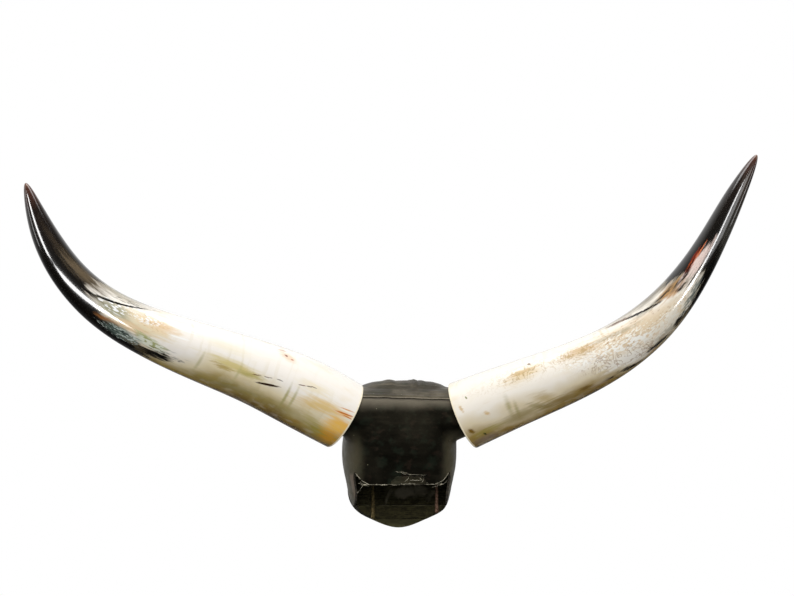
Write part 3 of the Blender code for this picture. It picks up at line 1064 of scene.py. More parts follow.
@dataclass
class HeadMount:
    """The leather-covered head between the horns: its cover, the band over its poll, and the wooden form
    under them.
    """

    horns: tuple[HornSheath, HornSheath]
    stations: tuple[tuple[float, float, float, float], ...] = (
        (-95, 0, 57, 38),
        (-72, 0, 66.5, 44),
        (-48, 0, 72, 47.5),
        (-22, 0, 77, 51),
        (5, 0, 78, 55),
        (32, 0, 75, 56),
        (54, 0, 71, 54),
        (70, 1, 65, 44),
        (80, 3, 60, 32),
        (85.5, 4, 51, 24),
        (88.6, 3, 38, 16),
        (90.2, 2, 22, 8),
    )
    ridge: Pairs = (
        *((-95, 42), (-48, 54), (5, 55), (32, 61), (54, 62)),
        *((70, 56), (80, 49), (85.5, 40), (88.6, 28), (90.2, 15)),
    )
    gathers: tuple[tuple[float, float, float], ...] = (  # place across, width, height of each fold
        (-15, 6, 1.6),
        (-4, 3, -0.7),
        (9, 3, -0.9),
        (14, 1.6, 1.0),
        (19, 2.2, 1.9),
        (23, 1.4, -0.6),
        (29, 4, 1.0),
        (44, 6, 0.6),
    )
    widest_y: float = -45.0
    arm_half_height: float = 33.0
    arm_half_depth: float = 35.0
    arm_rise: tuple[float, float] = (8.0, 5.3)
    arm_fullness: float = 2.7
    arm_reach: float = 12.0
    arm_root: float = 45.0
    rim_gap: float = 0.5
    mouth_gap: float = 7.2
    voxel: float = 1.3
    leather: float = 3.0
    band_leather: float = 1.8
    band_gap: float = 0.3
    band_edge: float = 68.2
    band_slope: float = 1.6
    back: float = -18.3
    form_underside: float = -36.0
    far: float = 160.0
    rim_block: float = 62.0
    hem: tuple[tuple[float, float], ...] = (
        (-86.5, -47),
        (-76, -31.5),
        (-72.5, -31.5),
        (-69, -38),
        (-66, -60),
        (-60, -68),
        (-50, -75),
        (-36, -78),
        (5, -78.5),
    )

    def body_rings(self) -> Rings:
        """Rings up the head, each a flat front between two soft ridges, with side walls that slant back.

        Returns:
            The rings, from the lowest to the highest.
        """
        table = np.array(self.stations, float)
        travel = np.r_[0, np.cumsum(np.linalg.norm(np.diff(table[:, [0, 2]], axis=0), axis=1))]
        dense = spline(travel, table)(np.linspace(0, travel[-1], 60))
        ridge = station_curve(self.ridge)
        rings: Rings = []
        for z, middle, wide, deep in dense:
            fold = min(float(ridge(z)), wide - 4)
            front = self.widest_y - deep
            half = [(wide, 0.0), (wide, self.widest_y - 9), (fold, front + 0.05 * deep)]
            line = [(-x, y) for x, y in half] + [(0.0, front - 1)] + half[::-1]
            for _ in range(4):
                rounded = [line[0]]
                for near, far in zip(line, line[1:]):
                    for share in (0.25, 0.75):
                        rounded.append(tuple((1 - share) * a + share * b for a, b in zip(near, far)))
                line = [*rounded, line[-1]]
            rings.append([(middle + x, y, z) for x, y in line])
        return rings

    def arm_ring(self, side: int, distance: float) -> list[np.ndarray]:
        """A ring of the left (0) or right (1) arm, at a distance from the horn's sawn base."""
        size = (self.arm_half_height, self.arm_half_depth, self.arm_rise[side], self.arm_fullness)
        return self.horns[side].ring_before_base(distance, *size)

    def bridge(self) -> tuple[list, list]:
        """The skin stretched from one horn's rim to the other's.

        Returns:
            Its points and its faces.
        """
        bm = bmesh.new()
        for point in self.arm_ring(0, 0) + self.arm_ring(1, 0):
            bm.verts.new(point)
        hull = bmesh.ops.convex_hull(bm, input=bm.verts)
        loose = {v for v in hull["geom_interior"] if isinstance(v, bmesh.types.BMVert)}
        bmesh.ops.delete(bm, geom=list(loose), context="VERTS")
        bm.verts.index_update()
        points = [tuple(v.co) for v in bm.verts]
        faces = [tuple(v.index for v in face.verts) for face in bm.faces]
        bm.free()
        return points, faces

    def blank(self) -> Object:
        """The head and its two arms blended into one soft solid, with the hide's dents.

        Returns:
            The solid.
        """
        points, faces = closed_loft(self.body_rings())
        ends = (self.arm_root, -self.arm_reach - 6)
        arms = [closed_loft([self.arm_ring(side, end) for end in ends]) for side in (0, 1)]
        for more, joins in (self.bridge(), *arms):
            faces += [tuple(i + len(points) for i in face) for face in joins]
            points += more
        solid = mesh_object("head_blank", points, faces)
        remesh = solid.modifiers.new("blend", "REMESH")
        remesh.mode = "VOXEL"
        remesh.voxel_size = self.voxel * MM
        soften = solid.modifiers.new("soften", "SMOOTH")
        soften.factor = 0.5
        soften.iterations = 60
        solid = baked(solid, "head_blank")
        swell(solid, self.dent)
        return solid

    def dent(self, place: Vector) -> float:
        """How far the hide stands out at a place, in millimetres.

        Args:
            place: the place, in millimetres.

        Returns:
            The height.
        """
        slow = noise.noise(place / 38.0 + Vector((3.1, 0, 0)))
        quick = noise.noise(place / 11.0 + Vector((0, 7.7, 0)))
        return 0.7 * slow + 0.22 * quick

    def cutters(self, mark: Material, into_mouth: bool, deeper: float = 0.0) -> list[Object]:
        """Shapes that trim the head at the wall side and at the horns' rims.

        Args:
            mark: the material that shows which faces a cutter left.
            into_mouth: whether the head's arms run on into the horns' mouths.
            deeper: how much thinner than the leather's outside the arms are there.

        Returns:
            The cutters.
        """
        far = self.far
        square = ((-far, -far), (far, -far), (far, far), (-far, far))
        behind = [[(x, y, z) for x, z in square] for y in (self.back, far)]
        made = [mesh_object("behind", *closed_loft(behind), mark)]
        wide = self.rim_block
        for horn in self.horns:
            mouth = horn.radius(0) - self.mouth_gap - deeper
            sizes = [(self.rim_gap, wide, wide), (-wide, wide, wide)]
            if into_mouth:
                ends = (-self.arm_reach, self.rim_gap)
                sizes = [(end, mouth, mouth * horn.oval) for end in ends] + sizes
            rings = [horn.ring_before_base(*size) for size in sizes]
            made.append(mesh_object("rim", *closed_loft(rings), mark))
        return made

    def skin(self, solid: Object, cutters: list, depth: float, finishes: list, name: str) -> Object:
        """Cuts a sheet of leather out of a solid's surface.

        Args:
            solid: the solid.
            cutters: what trims it, in a second material by which the faces they left are found.
            depth: the leather's thickness in millimetres, below 0 where it lies inside the surface.
            finishes: the face's material and the cut edge's.
            name: the finished piece's name.

        Returns:
            The closed piece.
        """
        sheet = cut(solid, cutters, f"{name}_sheet")
        bm = bmesh.new()
        bm.from_mesh(sheet.data)
        left = [face for face in bm.faces if face.material_index > 0]
        bmesh.ops.delete(bm, geom=left, context="FACES")
        bmesh.ops.dissolve_degenerate(bm, edges=bm.edges, dist=0.00005)
        bm.to_mesh(sheet.data)
        bm.free()
        sheet.data.materials.clear()
        for finish in finishes:
            sheet.data.materials.append(finish)
        thicken = sheet.modifiers.new("thickness", "SOLIDIFY")
        thicken.thickness = abs(depth) * MM
        thicken.offset = math.copysign(1.0, depth)
        thicken.material_offset_rim = 1
        return smoothed(baked(sheet, name), 50)

    def form(self, blank: Object, mark: Material, wood: Wood) -> Object:
        """The wooden form under the leather, with its flat underside.

        Args:
            blank: the head's outside.
            mark: a material for the cutters.
            wood: the form's wood.

        Returns:
            The finished piece.
        """
        inner = link_object("form_blank", blank.data.copy())
        inset = self.leather + 0.3
        swell(inner, lambda place: -inset)
        far = self.far
        square = ((-far, -far), (far, -far), (far, far), (-far, far))
        rings = [[(x, y, z) for x, y in square] for z in (-far, self.form_underside)]
        under = mesh_object("under", *closed_loft(rings), mark)
        piece = cut(inner, [*self.cutters(mark, True, inset), under], "wooden_form")
        smoothed(piece, 40, wood.build())
        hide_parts("head_form")
        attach(piece, "root")
        return piece

    def build(
        self,
        cover: tuple[SatinLeather, RawLeatherEdge],
        band: tuple[SatinLeather, RawLeatherEdge],
        wood: Wood,
    ) -> list[Object]:
        """Makes the cover, the band and the form.

        Args:
            cover: the cover's leather and its cut edge.
            band: the band's leather and its cut edge.
            wood: the form's wood.

        Returns:
            The finished pieces.
        """
        mark = bpy.data.materials.new("cut_mark")
        solid = self.blank()
        solid.data.materials.append(bpy.data.materials.new("blank_mark"))
        outer = link_object("band_blank", solid.data.copy())
        swell(outer, lambda place: self.band_gap + self.bunching(place))
        form = self.form(solid, mark, wood)

        far = self.far
        outline = [(-far, self.hem[0][1]), *self.hem, (self.hem[-1][0], -far), (-far, -far)]
        rings = [[(x, y, z) for y, z in outline] for x in (-far, far)]
        cutters = [mesh_object("hem", *closed_loft(rings), mark), *self.cutters(mark, True)]
        finishes = [finish.build() for finish in cover]
        hide = self.skin(solid, cutters, -self.leather, finishes, "cover_hide")
        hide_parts("leather_cover")
        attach(hide, "root")

        line = [(x, self.seam(x)) for x in np.linspace(-far, far, 161)]
        outline = [(-far, -far), (far, -far), *reversed(line)]
        rings = [[(x, y, z) for x, z in outline] for y in (-far, far)]
        cutters = [mesh_object("below", *closed_loft(rings), mark), *self.cutters(mark, False)]
        finishes = [finish.build() for finish in band]
        strip = self.skin(outer, cutters, self.band_leather, finishes, "poll_strip")
        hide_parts("poll_band")
        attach(strip, "root")
        return [hide, strip, form]

    def bunching(self, place: Vector) -> float:
        """How far the band stands out at a place, in millimetres: gathers on top, a welt at its edge.

        Args:
            place: the place, in millimetres.

        Returns:
            The height.
        """
        top = min(max((place.z - 78.0) / 9.0, 0.0), 1.0)
        wander = 3.0 * noise.noise(Vector((0.0, place.y / 14.0, 2.0)))
        folds = sum(h * math.exp(-(((place.x - wander - x) / w) ** 2)) for x, w, h in self.gathers)
        creases = 0.5 * noise.noise(Vector((place.x / 30.0, place.y / 4.0, place.z / 4.0)))
        welt = 1.1 * math.exp(-(((place.z - self.seam(place.x) - 1.6) / 1.3) ** 2))
        return max(0.0, top * folds) + max(0.0, creases) + welt

    def seam(self, across: float) -> float:
        """The height of the band's lower edge there, which wanders a little."""
        wander = 0.7 * noise.noise(Vector((across / 16.0, 5.0, 0.0)))
        return self.band_edge - math.tan(math.radians(self.band_slope)) * across + wander


@dataclass
class TornLip:
    """The cover's torn lower lip: its frayed edge, the cracked flap over its middle and the loose threads."""

    cover: Object
    lip_height: float = -46.8
    lip_half: float = 55.0
    corner: tuple[tuple[float, float], ...] = ((-88.5, -46.8), (-84.0, -42.5), (-79.5, -36.5), (-76.5, -32.5))
    flap_span: tuple[float, float] = (-17.0, 31.0)
    flap_top: float = -36.0
    flap_lift: float = 1.1
    flap_leather: float = 0.7
    flap_tear: float = 2.4
    flap_corner: tuple[float, float] = (0.16, 7.0)  # the share of its width that slopes, and how far down
    threads: tuple[tuple[tuple[float, float], ...], ...] = (  # (place across, height) along each thread
        ((-11, -29.5), (-5, -30.4), (1, -32.6), (13, -33.4), (22, -34.2), (28, -34)),
        ((-9, -30.6), (-3, -30.0), (4, -31.0)),
        ((24, -36), (20.5, -38), (24.5, -40.6), (18, -41.4), (9, -41)),
        ((2, -42.4), (5.5, -39), (8.6, -35)),
        ((17, -37.2), (22, -38.6), (27, -38.2), (25, -43.5)),
        ((-4, -45.6), (1, -46.4), (6, -45.2), (15, -46.2)),
        ((-58, -43.5), (-53, -47), (-58, -53.5), (-61, -60)),
        ((-60, -45), (-52, -48), (-47, -48.6)),
        ((38, -50.5), (48, -48), (57, -45.4), (60, -42)),
        ((-30, -47.4), (-20, -46.6), (-9, -47.6)),
    )

    def __post_init__(self) -> None:
        """Makes the cover ready to be measured."""
        self._skin = BVHTree.FromObject(self.cover, bpy.context.evaluated_depsgraph_get())

    def front(self, across: float, height: float, lift: float) -> tuple[float, float, float]:
        """Finds a point just before the cover's front, in millimetres.

        Args:
            across: how far across it is.
            height: how high it is.
            lift: how far it stands off the cover.

        Returns:
            The point.
        """
        for level in (height, max(height, self.lip_height + 1.5), self.corner[-1][1] + 4):
            hit = self._skin.ray_cast(Vector((across * MM, -0.3, level * MM)), Vector((0, 1, 0)))[0]
            if hit and hit.y < -0.06:
                return (across, hit.y / MM - lift, height)
        return (across, -70.0 - lift, height)

    def beside(self, depth: float, height: float, way: int) -> tuple[float, float, float]:
        """Finds a point on the cover's side, in millimetres.

        Args:
            depth: how far from the wall it is.
            height: how high it is.
            way: -1 for the left side and 1 for the right.

        Returns:
            The point.
        """
        start = Vector((way * 0.3, depth * MM, (height + 0.8) * MM))
        hit = self._skin.ray_cast(start, Vector((-way, 0, 0)))[0]
        return (hit.x / MM if hit else way * 60.0, depth, height)

    def thread_tree(self) -> NodeTree:
        """Makes Geometry Nodes that turn polylines into uneven threads with short fibres standing off them.

        Returns:
            The tree.
        """
        kinds = {
            "Radius": "NodeSocketFloat",
            "Wander": "NodeSocketFloat",
            "Fibre Length": "NodeSocketFloat",
            "Fibre Spacing": "NodeSocketFloat",
            "Seed": "NodeSocketInt",
            "Finish": "NodeSocketMaterial",
        }
        tree, source = new_modifier_tree("frayed_threads", kinds)
        radius, seed = source.outputs["Radius"], source.outputs["Seed"]
        line = add(tree, "GeometryNodeMeshToCurve", {0: source})
        fine = add(tree, "GeometryNodeResampleCurve", {"Curve": line, "Length": 0.0006}, mode="LENGTH")
        keys = {"Scale": 190.0, "Detail": 4.0, "Roughness": 0.6}
        drift = add(tree, "ShaderNodeTexNoise", keys).outputs["Color"]
        middle = add(tree, "ShaderNodeVectorMath", {0: drift, 1: (0.5, 0.5, 0.5)}, operation="SUBTRACT")
        keys = {0: middle, "Scale": source.outputs["Wander"]}
        offset = add(tree, "ShaderNodeVectorMath", keys, operation="SCALE")
        loose = add(tree, "GeometryNodeSetPosition", {"Geometry": fine, "Offset": offset})
        bulges = add(tree, "ShaderNodeTexNoise", {"Scale": 420.0, "Detail": 2.0})
        uneven = add(tree, "ShaderNodeMapRange", {0: bulges, 1: 0.3, 2: 0.7, 3: 0.45, 4: 1.5})
        swollen = add(tree, "GeometryNodeSetCurveRadius", {"Curve": loose, "Radius": uneven})
        section = add(tree, "GeometryNodeCurvePrimitiveCircle", {"Resolution": 6, "Radius": radius})
        keys = {"Curve": swollen, "Profile Curve": section, "Fill Caps": True}
        thread = add(tree, "GeometryNodeCurveToMesh", keys)
        keys = {"Curve": loose, "Length": source.outputs["Fibre Spacing"]}
        roots = add(tree, "GeometryNodeCurveToPoints", keys, mode="LENGTH")
        stout = add(tree, "ShaderNodeMath", {0: radius, 1: 0.45}, operation="MULTIPLY")
        length = source.outputs["Fibre Length"]
        keys = {"Vertices": 5, "Radius Top": 0.00004, "Radius Bottom": stout, "Depth": length}
        fibre = add(tree, "GeometryNodeMeshCone", keys)
        keys = {0: (-1.9, -1.9, -3.1), 1: (1.9, 1.9, 3.1), "Seed": seed}
        turned = add(tree, "FunctionNodeRandomValue", keys, data_type="FLOAT_VECTOR")
        sized = add(tree, "FunctionNodeRandomValue", {2: 0.35, 3: 1.3, "Seed": seed})
        keys = {"Points": roots, "Instance": fibre, "Rotation": turned, "Scale": sized}
        spread = add(tree, "GeometryNodeInstanceOnPoints", keys)
        flow = add(tree, "GeometryNodeJoinGeometry", {0: thread})
        feed(flow, {0: spread})
        flow = add(tree, "GeometryNodeRealizeInstances", {"Geometry": flow})
        flow = add(tree, "GeometryNodeSetMaterial", {"Geometry": flow, "Material": source.outputs["Finish"]})
        add(tree, "NodeGroupOutput", {0: flow})
        return tree

    def threaded(self, name: str, lines: list, tree: NodeTree, values: dict) -> Object:
        """Runs threads along polylines.

        Args:
            name: the piece's name.
            lines: the polylines, in millimetres.
            tree: the tree that makes threads of them.
            values: the tree's inputs.

        Returns:
            The finished piece.
        """
        mesh = bpy.data.meshes.new(name)
        edges, start = [], 0
        for line in lines:
            edges += [(start + i, start + i + 1) for i in range(len(line) - 1)]
            start += len(line)
        mesh.from_pydata([tuple(c * MM for c in p) for line in lines for p in line], edges, [])
        piece = link_object(name, mesh)
        nodes_modifier(piece, tree, values)
        piece = baked(piece, name)
        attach(piece, "root")
        return piece

    def flap(self, finish: Material) -> Object:
        """Makes the cracked patch of hide that stands off the middle of the lip.

        Args:
            finish: its leather.

        Returns:
            The finished piece.
        """
        columns, rows = 56, 16
        left, right = self.flap_span
        slope, drop = self.flap_corner
        points = []
        for r in range(rows + 1):
            for c in range(columns + 1):
                across = left + (right - left) * c / columns
                edge = min(c, columns - c) / columns
                torn = self.flap_tear * noise.noise(Vector((across / 3.2, 9.0, 0)))
                top = self.flap_top + torn - drop * max(0.0, 1 - edge / slope)
                height = self.lip_height + (top - self.lip_height) * r / rows
                ripple = 0.5 * noise.noise(Vector((across / 7, height / 4, 1)))
                curl = max(self.flap_lift * (r / rows) ** 3 + ripple, -0.3)
                points.append(self.front(across, height, self.flap_leather + 0.5 + curl))
        sheet = mesh_object("lip_flap", points, sheet_faces(columns, rows), finish)
        thicken = sheet.modifiers.new("thickness", "SOLIDIFY")
        thicken.thickness = self.flap_leather * MM
        thicken.offset = 0.0
        piece = baked(sheet, "lip_flap")
        piece.data.shade_smooth()
        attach(piece, "root")
        return piece

    def build(self, hide: SatinLeather, thread: WaxedThread) -> list[Object]:
        """Makes the flap, the frayed edge and the threads.

        Args:
            hide: the flap's leather.
            thread: the threads' finish.

        Returns:
            The finished pieces.
        """
        tree = self.thread_tree()
        shared = {"Seed": 4, "Finish": thread.build()}
        fray = {"Radius": 0.00034, "Wander": 0.0022, "Fibre Length": 0.0026, "Fibre Spacing": 0.0011}
        wisps = {"Radius": 0.0002, "Wander": 0.0034, "Fibre Length": 0.002, "Fibre Spacing": 0.005}
        left = [self.beside(y, z, -1) for y, z in reversed(self.corner)]
        right = [self.beside(y, z, 1) for y, z in self.corner]
        reach = self.lip_half - 2
        middle = [self.front(x, self.lip_height, 0.1) for x in np.linspace(-reach, reach, 40)]
        edge = self.threaded("lip_fray", [[*left, *middle, *right]], tree, fray | shared)
        lines = [[self.front(x, z, 1.9) for x, z in route] for route in self.threads]
        loose = self.threaded("loose_threads", lines, tree, wisps | shared)
        return [self.flap(hide.build()), edge, loose]


@dataclass
class WallBoard:
    """The shield-shaped board against the wall, with its edges eased and a keyhole cut in its back."""

    outline: Pairs = (
        (0, -109),
        (17, -106),
        (38, -97.3),
        (57, -86.5),
        (66.5, -73),
        (69.5, -50),
        (68.5, -15),
        (64, 25),
        (54, 57),
        (33, 74),
        (0, 80),
    )
    fuller: float = 3.2  # how much farther the foot's right shoulder reaches than the left
    shoulder: tuple[float, float] = (-84.0, 9.0)  # its height, and how far it fades up and down
    thickness: float = 18.0
    bevel: float = 1.2
    steps: int = 110
    keyhole_height: float = 48.0
    keyhole_rise: float = 12.0
    keyhole_depth: float = 9.0
    lip: float = 3.0
    head_radius: float = 5.0
    neck_radius: float = 2.5

    def slot(self, radius: float, low: float, high: float, near: float, far: float) -> Object:
        """A round-ended upright block from one depth to another, as a cutter.

        Args:
            radius: half its width.
            low: the height of its lower end's centre.
            high: the height of its upper end's centre.
            near: the depth at which it starts.
            far: the depth at which it ends.

        Returns:
            The cutter.
        """
        ring = []
        for turn in np.linspace(0, 2 * math.pi, 48, endpoint=False):
            middle = high if math.sin(turn) > 0 else low
            ring.append((radius * math.cos(turn), middle + radius * math.sin(turn)))
        return mesh_object("keyhole", *closed_loft([[(x, y, z) for x, z in ring] for y in (near, far)]))

    def build(self, finish: Wood) -> Object:
        """Makes the board.

        Args:
            finish: its wood.

        Returns:
            The finished piece.
        """
        corner = np.array(self.outline, float)
        mirrored = np.vstack([corner[-2:0:-1] * (-1, 1), corner])
        closed = np.vstack([mirrored, mirrored[:1]])
        travel = np.r_[0, np.cumsum(np.linalg.norm(np.diff(closed, axis=0), axis=1))]
        curve = spline(travel, closed)(np.linspace(0, travel[-1], 2 * self.steps, endpoint=False))
        height, fade = self.shoulder
        shoulder = self.fuller * np.exp(-(((curve[:, 1] - height) / fade) ** 2))
        curve[:, 0] += np.where(curve[:, 0] > 0, shoulder, 0) * np.clip(curve[:, 0] / 40, 0, 1)
        rings = [[(x, y, z) for x, z in curve] for y in (0.0, -self.thickness)]
        board = mesh_object("shield_board", *closed_loft(rings))
        bevelled(board, self.bevel)
        low, high = self.keyhole_height, self.keyhole_height + self.keyhole_rise
        cutters = [
            self.slot(self.head_radius, low, low, 1.0, -self.keyhole_depth),
            self.slot(self.neck_radius, low, high, 1.0, -self.keyhole_depth),
            self.slot(self.head_radius, low, high, -self.lip, -self.keyhole_depth),
        ]
        piece = smoothed(cut(board, cutters, "shield_board"), 40, finish.build())
        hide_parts("back_board")
        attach(piece, "root")
        return piece


@dataclass
class FootRail:
    """The strip of wood across the board's foot, with its ends cut at a slant and its edges worn round."""

    top: float = -77.4
    bottom: float = -95.7
    back: float = -18.5
    front: float = -44.0
    slant: float = 3.2
    outline: Pairs = ((-95.7, 39.0), (-91.0, 48.0), (-86.5, 55.5), (-81.5, 60.0), (-77.4, 62.5))
    fuller: float = 2.2  # how much farther the right end reaches
    worn: float = 1.1
    steps: int = 60

    def build(self, finish: Wood) -> Object:
        """Makes the rail.

        Args:
            finish: its wood.

        Returns:
            The finished piece.
        """
        half = station_curve(self.outline)
        columns, rows = self.steps, 12
        points = []
        for y, inset in ((self.front, self.slant), (self.back, 0.0)):
            for r in range(rows + 1):
                z = self.bottom + (self.top - self.bottom) * r / rows
                for c in range(columns + 1):
                    side = 2 * c / columns - 1
                    x = (float(half(z)) - inset) * side + self.fuller * max(side, 0.0) * min(r / 7, 1)
                    points.append((x, y, z))
        across, layer = columns + 1, (columns + 1) * (rows + 1)
        rim = [*range(columns), *range(columns, layer - 1, across)]
        rim += [layer - 1 - i for i in rim]
        faces = sheet_faces(columns, rows) + sheet_faces(columns, rows, layer)
        faces += [(a, b, b + layer, a + layer) for a, b in zip(rim, rim[1:] + rim[:1])]
        solid = mesh_object("foot_rail", points, faces, finish.build())
        for vertex in solid.data.vertices:
            if vertex.co.y < self.front * MM + 1e-6:
                vertex.co.y += 0.0006 * noise.noise(vertex.co / 0.012)
        bevelled(solid, self.worn)
        piece = smoothed(baked(solid, "foot_rail"), 40)
        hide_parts("lower_rail")
        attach(piece, "root")
        return piece


@dataclass
class TaperedRod:
    """A thin hand-drawn rod from the head's form down to the rail, stouter at its foot."""

    node: str
    across: float
    foot: float
    top: float = -36.3
    depth: float = -44.6
    top_radius: float = 1.5
    foot_radius: float = 3.1
    drawn: float = 0.09  # how uneven it is, as a share of its radius
    sway: float = 0.25
    rings: int = 40
    sides: int = 20

    def build(self, finish: CopperedSteel) -> Object:
        """Makes the rod.

        Args:
            finish: its metal.

        Returns:
            The finished piece.
        """
        rows: Rings = []
        span = self.top - self.foot
        for i in range(self.rings + 1):
            share = i / self.rings
            height = self.foot + span * share
            radius = self.foot_radius + (self.top_radius - self.foot_radius) * share**0.8
            end = min(height - self.foot, self.top - height)
            radius -= 0.5 * max(0.0, 1 - end / 0.6)
            ring = []
            middle = self.across + self.sway * math.sin(share * 5 + self.across)
            for turn in np.linspace(0, 2 * math.pi, self.sides, endpoint=False):
                c, s = math.cos(turn), math.sin(turn)
                uneven = noise.noise(Vector((c * 0.6, s * 0.6, height / 7 + self.across)))
                reach = radius * (1 + self.drawn * uneven)
                ring.append((middle + reach * c, self.depth + reach * s, height))
            rows.append(ring)
        piece = smoothed(mesh_object(f"{self.node}_drawn", *closed_loft(rows)), 50, finish.build())
        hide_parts(self.node)
        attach(piece, "root")
        return piece


@dataclass
class HornPlugs:
    """The wooden plugs hidden in the horns' mouths, which keep their CAD shapes."""

    nodes: tuple[str, ...] = ("left_horn_plug", "right_horn_plug")

    def dress(self, finish: Wood) -> None:
        """Gives the plugs their wood.

        Args:
            finish: the wood.
        """
        surface = finish.build()
        for node in self.nodes:
            bpy.data.objects[node].data.materials.clear()
            bpy.data.objects[node].data.materials.append(surface)
        LOG.info("dressed %s", ", ".join(self.nodes))


@dataclass
class Studio:
    """A pale floor, soft lights and the camera at the photograph's angle."""

    azimuth: float = -5.0
    elevation: float = -3.0
    distance: float = 2.6
    target: tuple[float, float, float] = (-0.006, -0.060, 0.2045)
    pixel: float = 0.00136
    width: int = 794
    floor_height: float = -0.85
    floor_radius: float = 0.9
    ambient: tuple[float, float] = (0.06, 0.5)  # from below and from above
    reflected: tuple[float, float] = (0.03, 0.8)  # from the room and from the wall

    def camera(self) -> None:
        """Aims the camera and makes it the scene's."""
        turn, lift = math.radians(self.azimuth), math.radians(self.elevation)
        back = Vector((math.sin(turn) * math.cos(lift), -math.cos(turn) * math.cos(lift), math.sin(lift)))
        lens = bpy.data.cameras.new("camera")
        lens.sensor_width = 36.0
        lens.lens = lens.sensor_width * (self.distance / self.pixel) / self.width
        eye = bpy.data.objects.new("camera", lens)
        eye.location = Vector(self.target) + back * self.distance
        eye.rotation_euler = (-back).to_track_quat("-Z", "Y").to_euler()
        bpy.context.scene.collection.objects.link(eye)
        bpy.context.scene.camera = eye

    def light(
        self,
        name: str,
        place: Sequence[float],
        aim: Sequence[float],
        size: Sequence[float],
        power: float,
        gloss_on: Sequence[Object] = (),
        mirrored: bool = True,
    ) -> Object:
        """Adds one softbox.

        Args:
            name: its name.
            place: where it stands, in metres.
            aim: the point it faces.
            size: its width and height.
            power: its power in watts.
            gloss_on: the pieces in whose gloss alone it shows, if it is only for that.
            mirrored: whether it shows in any gloss.

        Returns:
            The light.
        """
        box = bpy.data.lights.new(name, "AREA")
        box.shape = "RECTANGLE"
        box.size, box.size_y = size
        box.energy = power
        lamp = bpy.data.objects.new(name, box)
        lamp.location = place
        lamp.rotation_euler = (Vector(aim) - Vector(place)).to_track_quat("-Z", "Y").to_euler()
        lamp.visible_glossy = mirrored
        if gloss_on:
            shown = bpy.data.collections.new(name)
            for piece in gloss_on:
                shown.objects.link(piece)
            lamp.visible_diffuse = False
            lamp.light_linking.receiver_collection = shown
        bpy.context.scene.collection.objects.link(lamp)
        return lamp

    def surroundings(self) -> None:
        """White behind the object, soft light from above, and a dim room in its reflections."""
        world = bpy.data.worlds.new("room")
        bpy.context.scene.world = world
        world.use_nodes = True
        tree = world.node_tree
        tree.nodes.clear()
        path = add(tree, "ShaderNodeLightPath").outputs
        way = add(tree, "ShaderNodeTexCoord").outputs["Generated"]
        up = add(tree, "ShaderNodeSeparateXYZ", {0: way}).outputs["Z"]
        low, high = self.ambient
        soft = add(tree, "ShaderNodeMapRange", {0: up, 1: -0.6, 2: 0.9, 3: low, 4: high})
        # The reflections come mostly from behind, above and the left, and little from below
        bright = add(tree, "ShaderNodeVectorMath", {0: way, 1: (-0.35, 1.0, 0.5)}, operation="DOT_PRODUCT")
        low, high = self.reflected
        gloss = add(tree, "ShaderNodeMapRange", {0: bright, 1: 0.0, 2: 0.9, 3: low, 4: high})
        dim = add(tree, "ShaderNodeMapRange", {0: up, 1: -0.35, 2: 0.1, 3: 0.12, 4: 1.0})
        gloss = add(tree, "ShaderNodeMath", {0: gloss, 1: dim}, operation="MULTIPLY")
        levels = (soft, gloss, 1.0)
        soft, gloss, seen = (add(tree, "ShaderNodeBackground", {0: "#ffffff", 1: level}) for level in levels)
        room = add(tree, "ShaderNodeMixShader", {0: path["Is Diffuse Ray"], 1: gloss, 2: soft})
        room = add(tree, "ShaderNodeMixShader", {0: path["Is Camera Ray"], 1: room, 2: seen})
        add(tree, "ShaderNodeOutputWorld", {0: room})

    def floor(self) -> None:
        """A plain pale disc under the mount."""
        surface, tree, shader = new_surface("pale_floor")
        place = add(tree, "ShaderNodeTexCoord").outputs["Object"]
        cloud = add(tree, "ShaderNodeTexNoise", {"Vector": place, "Scale": 3.0})
        colour = add(tree, "ShaderNodeMix", {0: cloud, 6: "#efefed", 7: "#f6f6f5"}, data_type="RGBA")
        feed(shader, {"Base Color": colour, "Roughness": 0.8})
        reach, height = self.floor_radius / MM, self.floor_height / MM
        turns = np.linspace(0, 2 * math.pi, 128, endpoint=False)
        rim = [(math.cos(turn) * reach, math.sin(turn) * reach, height) for turn in turns]
        disc = mesh_object("floor", rim, [tuple(range(len(rim)))], surface)
        disc.visible_glossy = False  # so that the horns' undersides don't mirror it

    def build(self, horns: Sequence[Object], mount: Sequence[Object]) -> None:
        """Sets up the whole studio.

        Args:
            horns: the left and the right horn, each with a low softbox of its own for its gloss.
            mount: the other pieces, in whose satin the front softbox shows.
        """
        self.camera()
        self.surroundings()
        self.floor()
        middle = (0.0, -0.1, 0.15)
        self.light("overhead", (0.0, -0.7, 2.3), middle, (2.4, 1.2), 30.0)
        self.light("front", (0.0, -2.3, 1.35), middle, (2.4, 1.5), 43.0, mirrored=False)
        self.light("front_sheen", (0.0, -2.3, 1.35), middle, (2.4, 1.5), 44.0, mount)
        left, right = (-0.42, -0.17, 0.25), (0.43, -0.18, 0.3)
        self.light("left_low", (-0.95, -2.1, -0.68), left, (2.0, 0.5), 46.0, horns[:1])
        self.light("left_tip", (-2.2, -2.0, 0.5), left, (0.55, 1.8), 46.0, horns[:1])
        self.light("right_low", (0.95, -2.1, 0.2), right, (0.28, 1.6), 20.0, horns[1:])
        self.light("right_dim", (1.75, -2.0, 0.3), right, (0.9, 1.2), 7.0, horns[1:])
        self.light("left_side", (-2.4, -0.5, 0.5), middle, (0.3, 1.6), 4.0)
        self.light("right_side", (2.4, -0.5, 0.5), middle, (0.3, 1.6), 4.0)
        bpy.context.scene.view_settings.view_transform = "Standard"


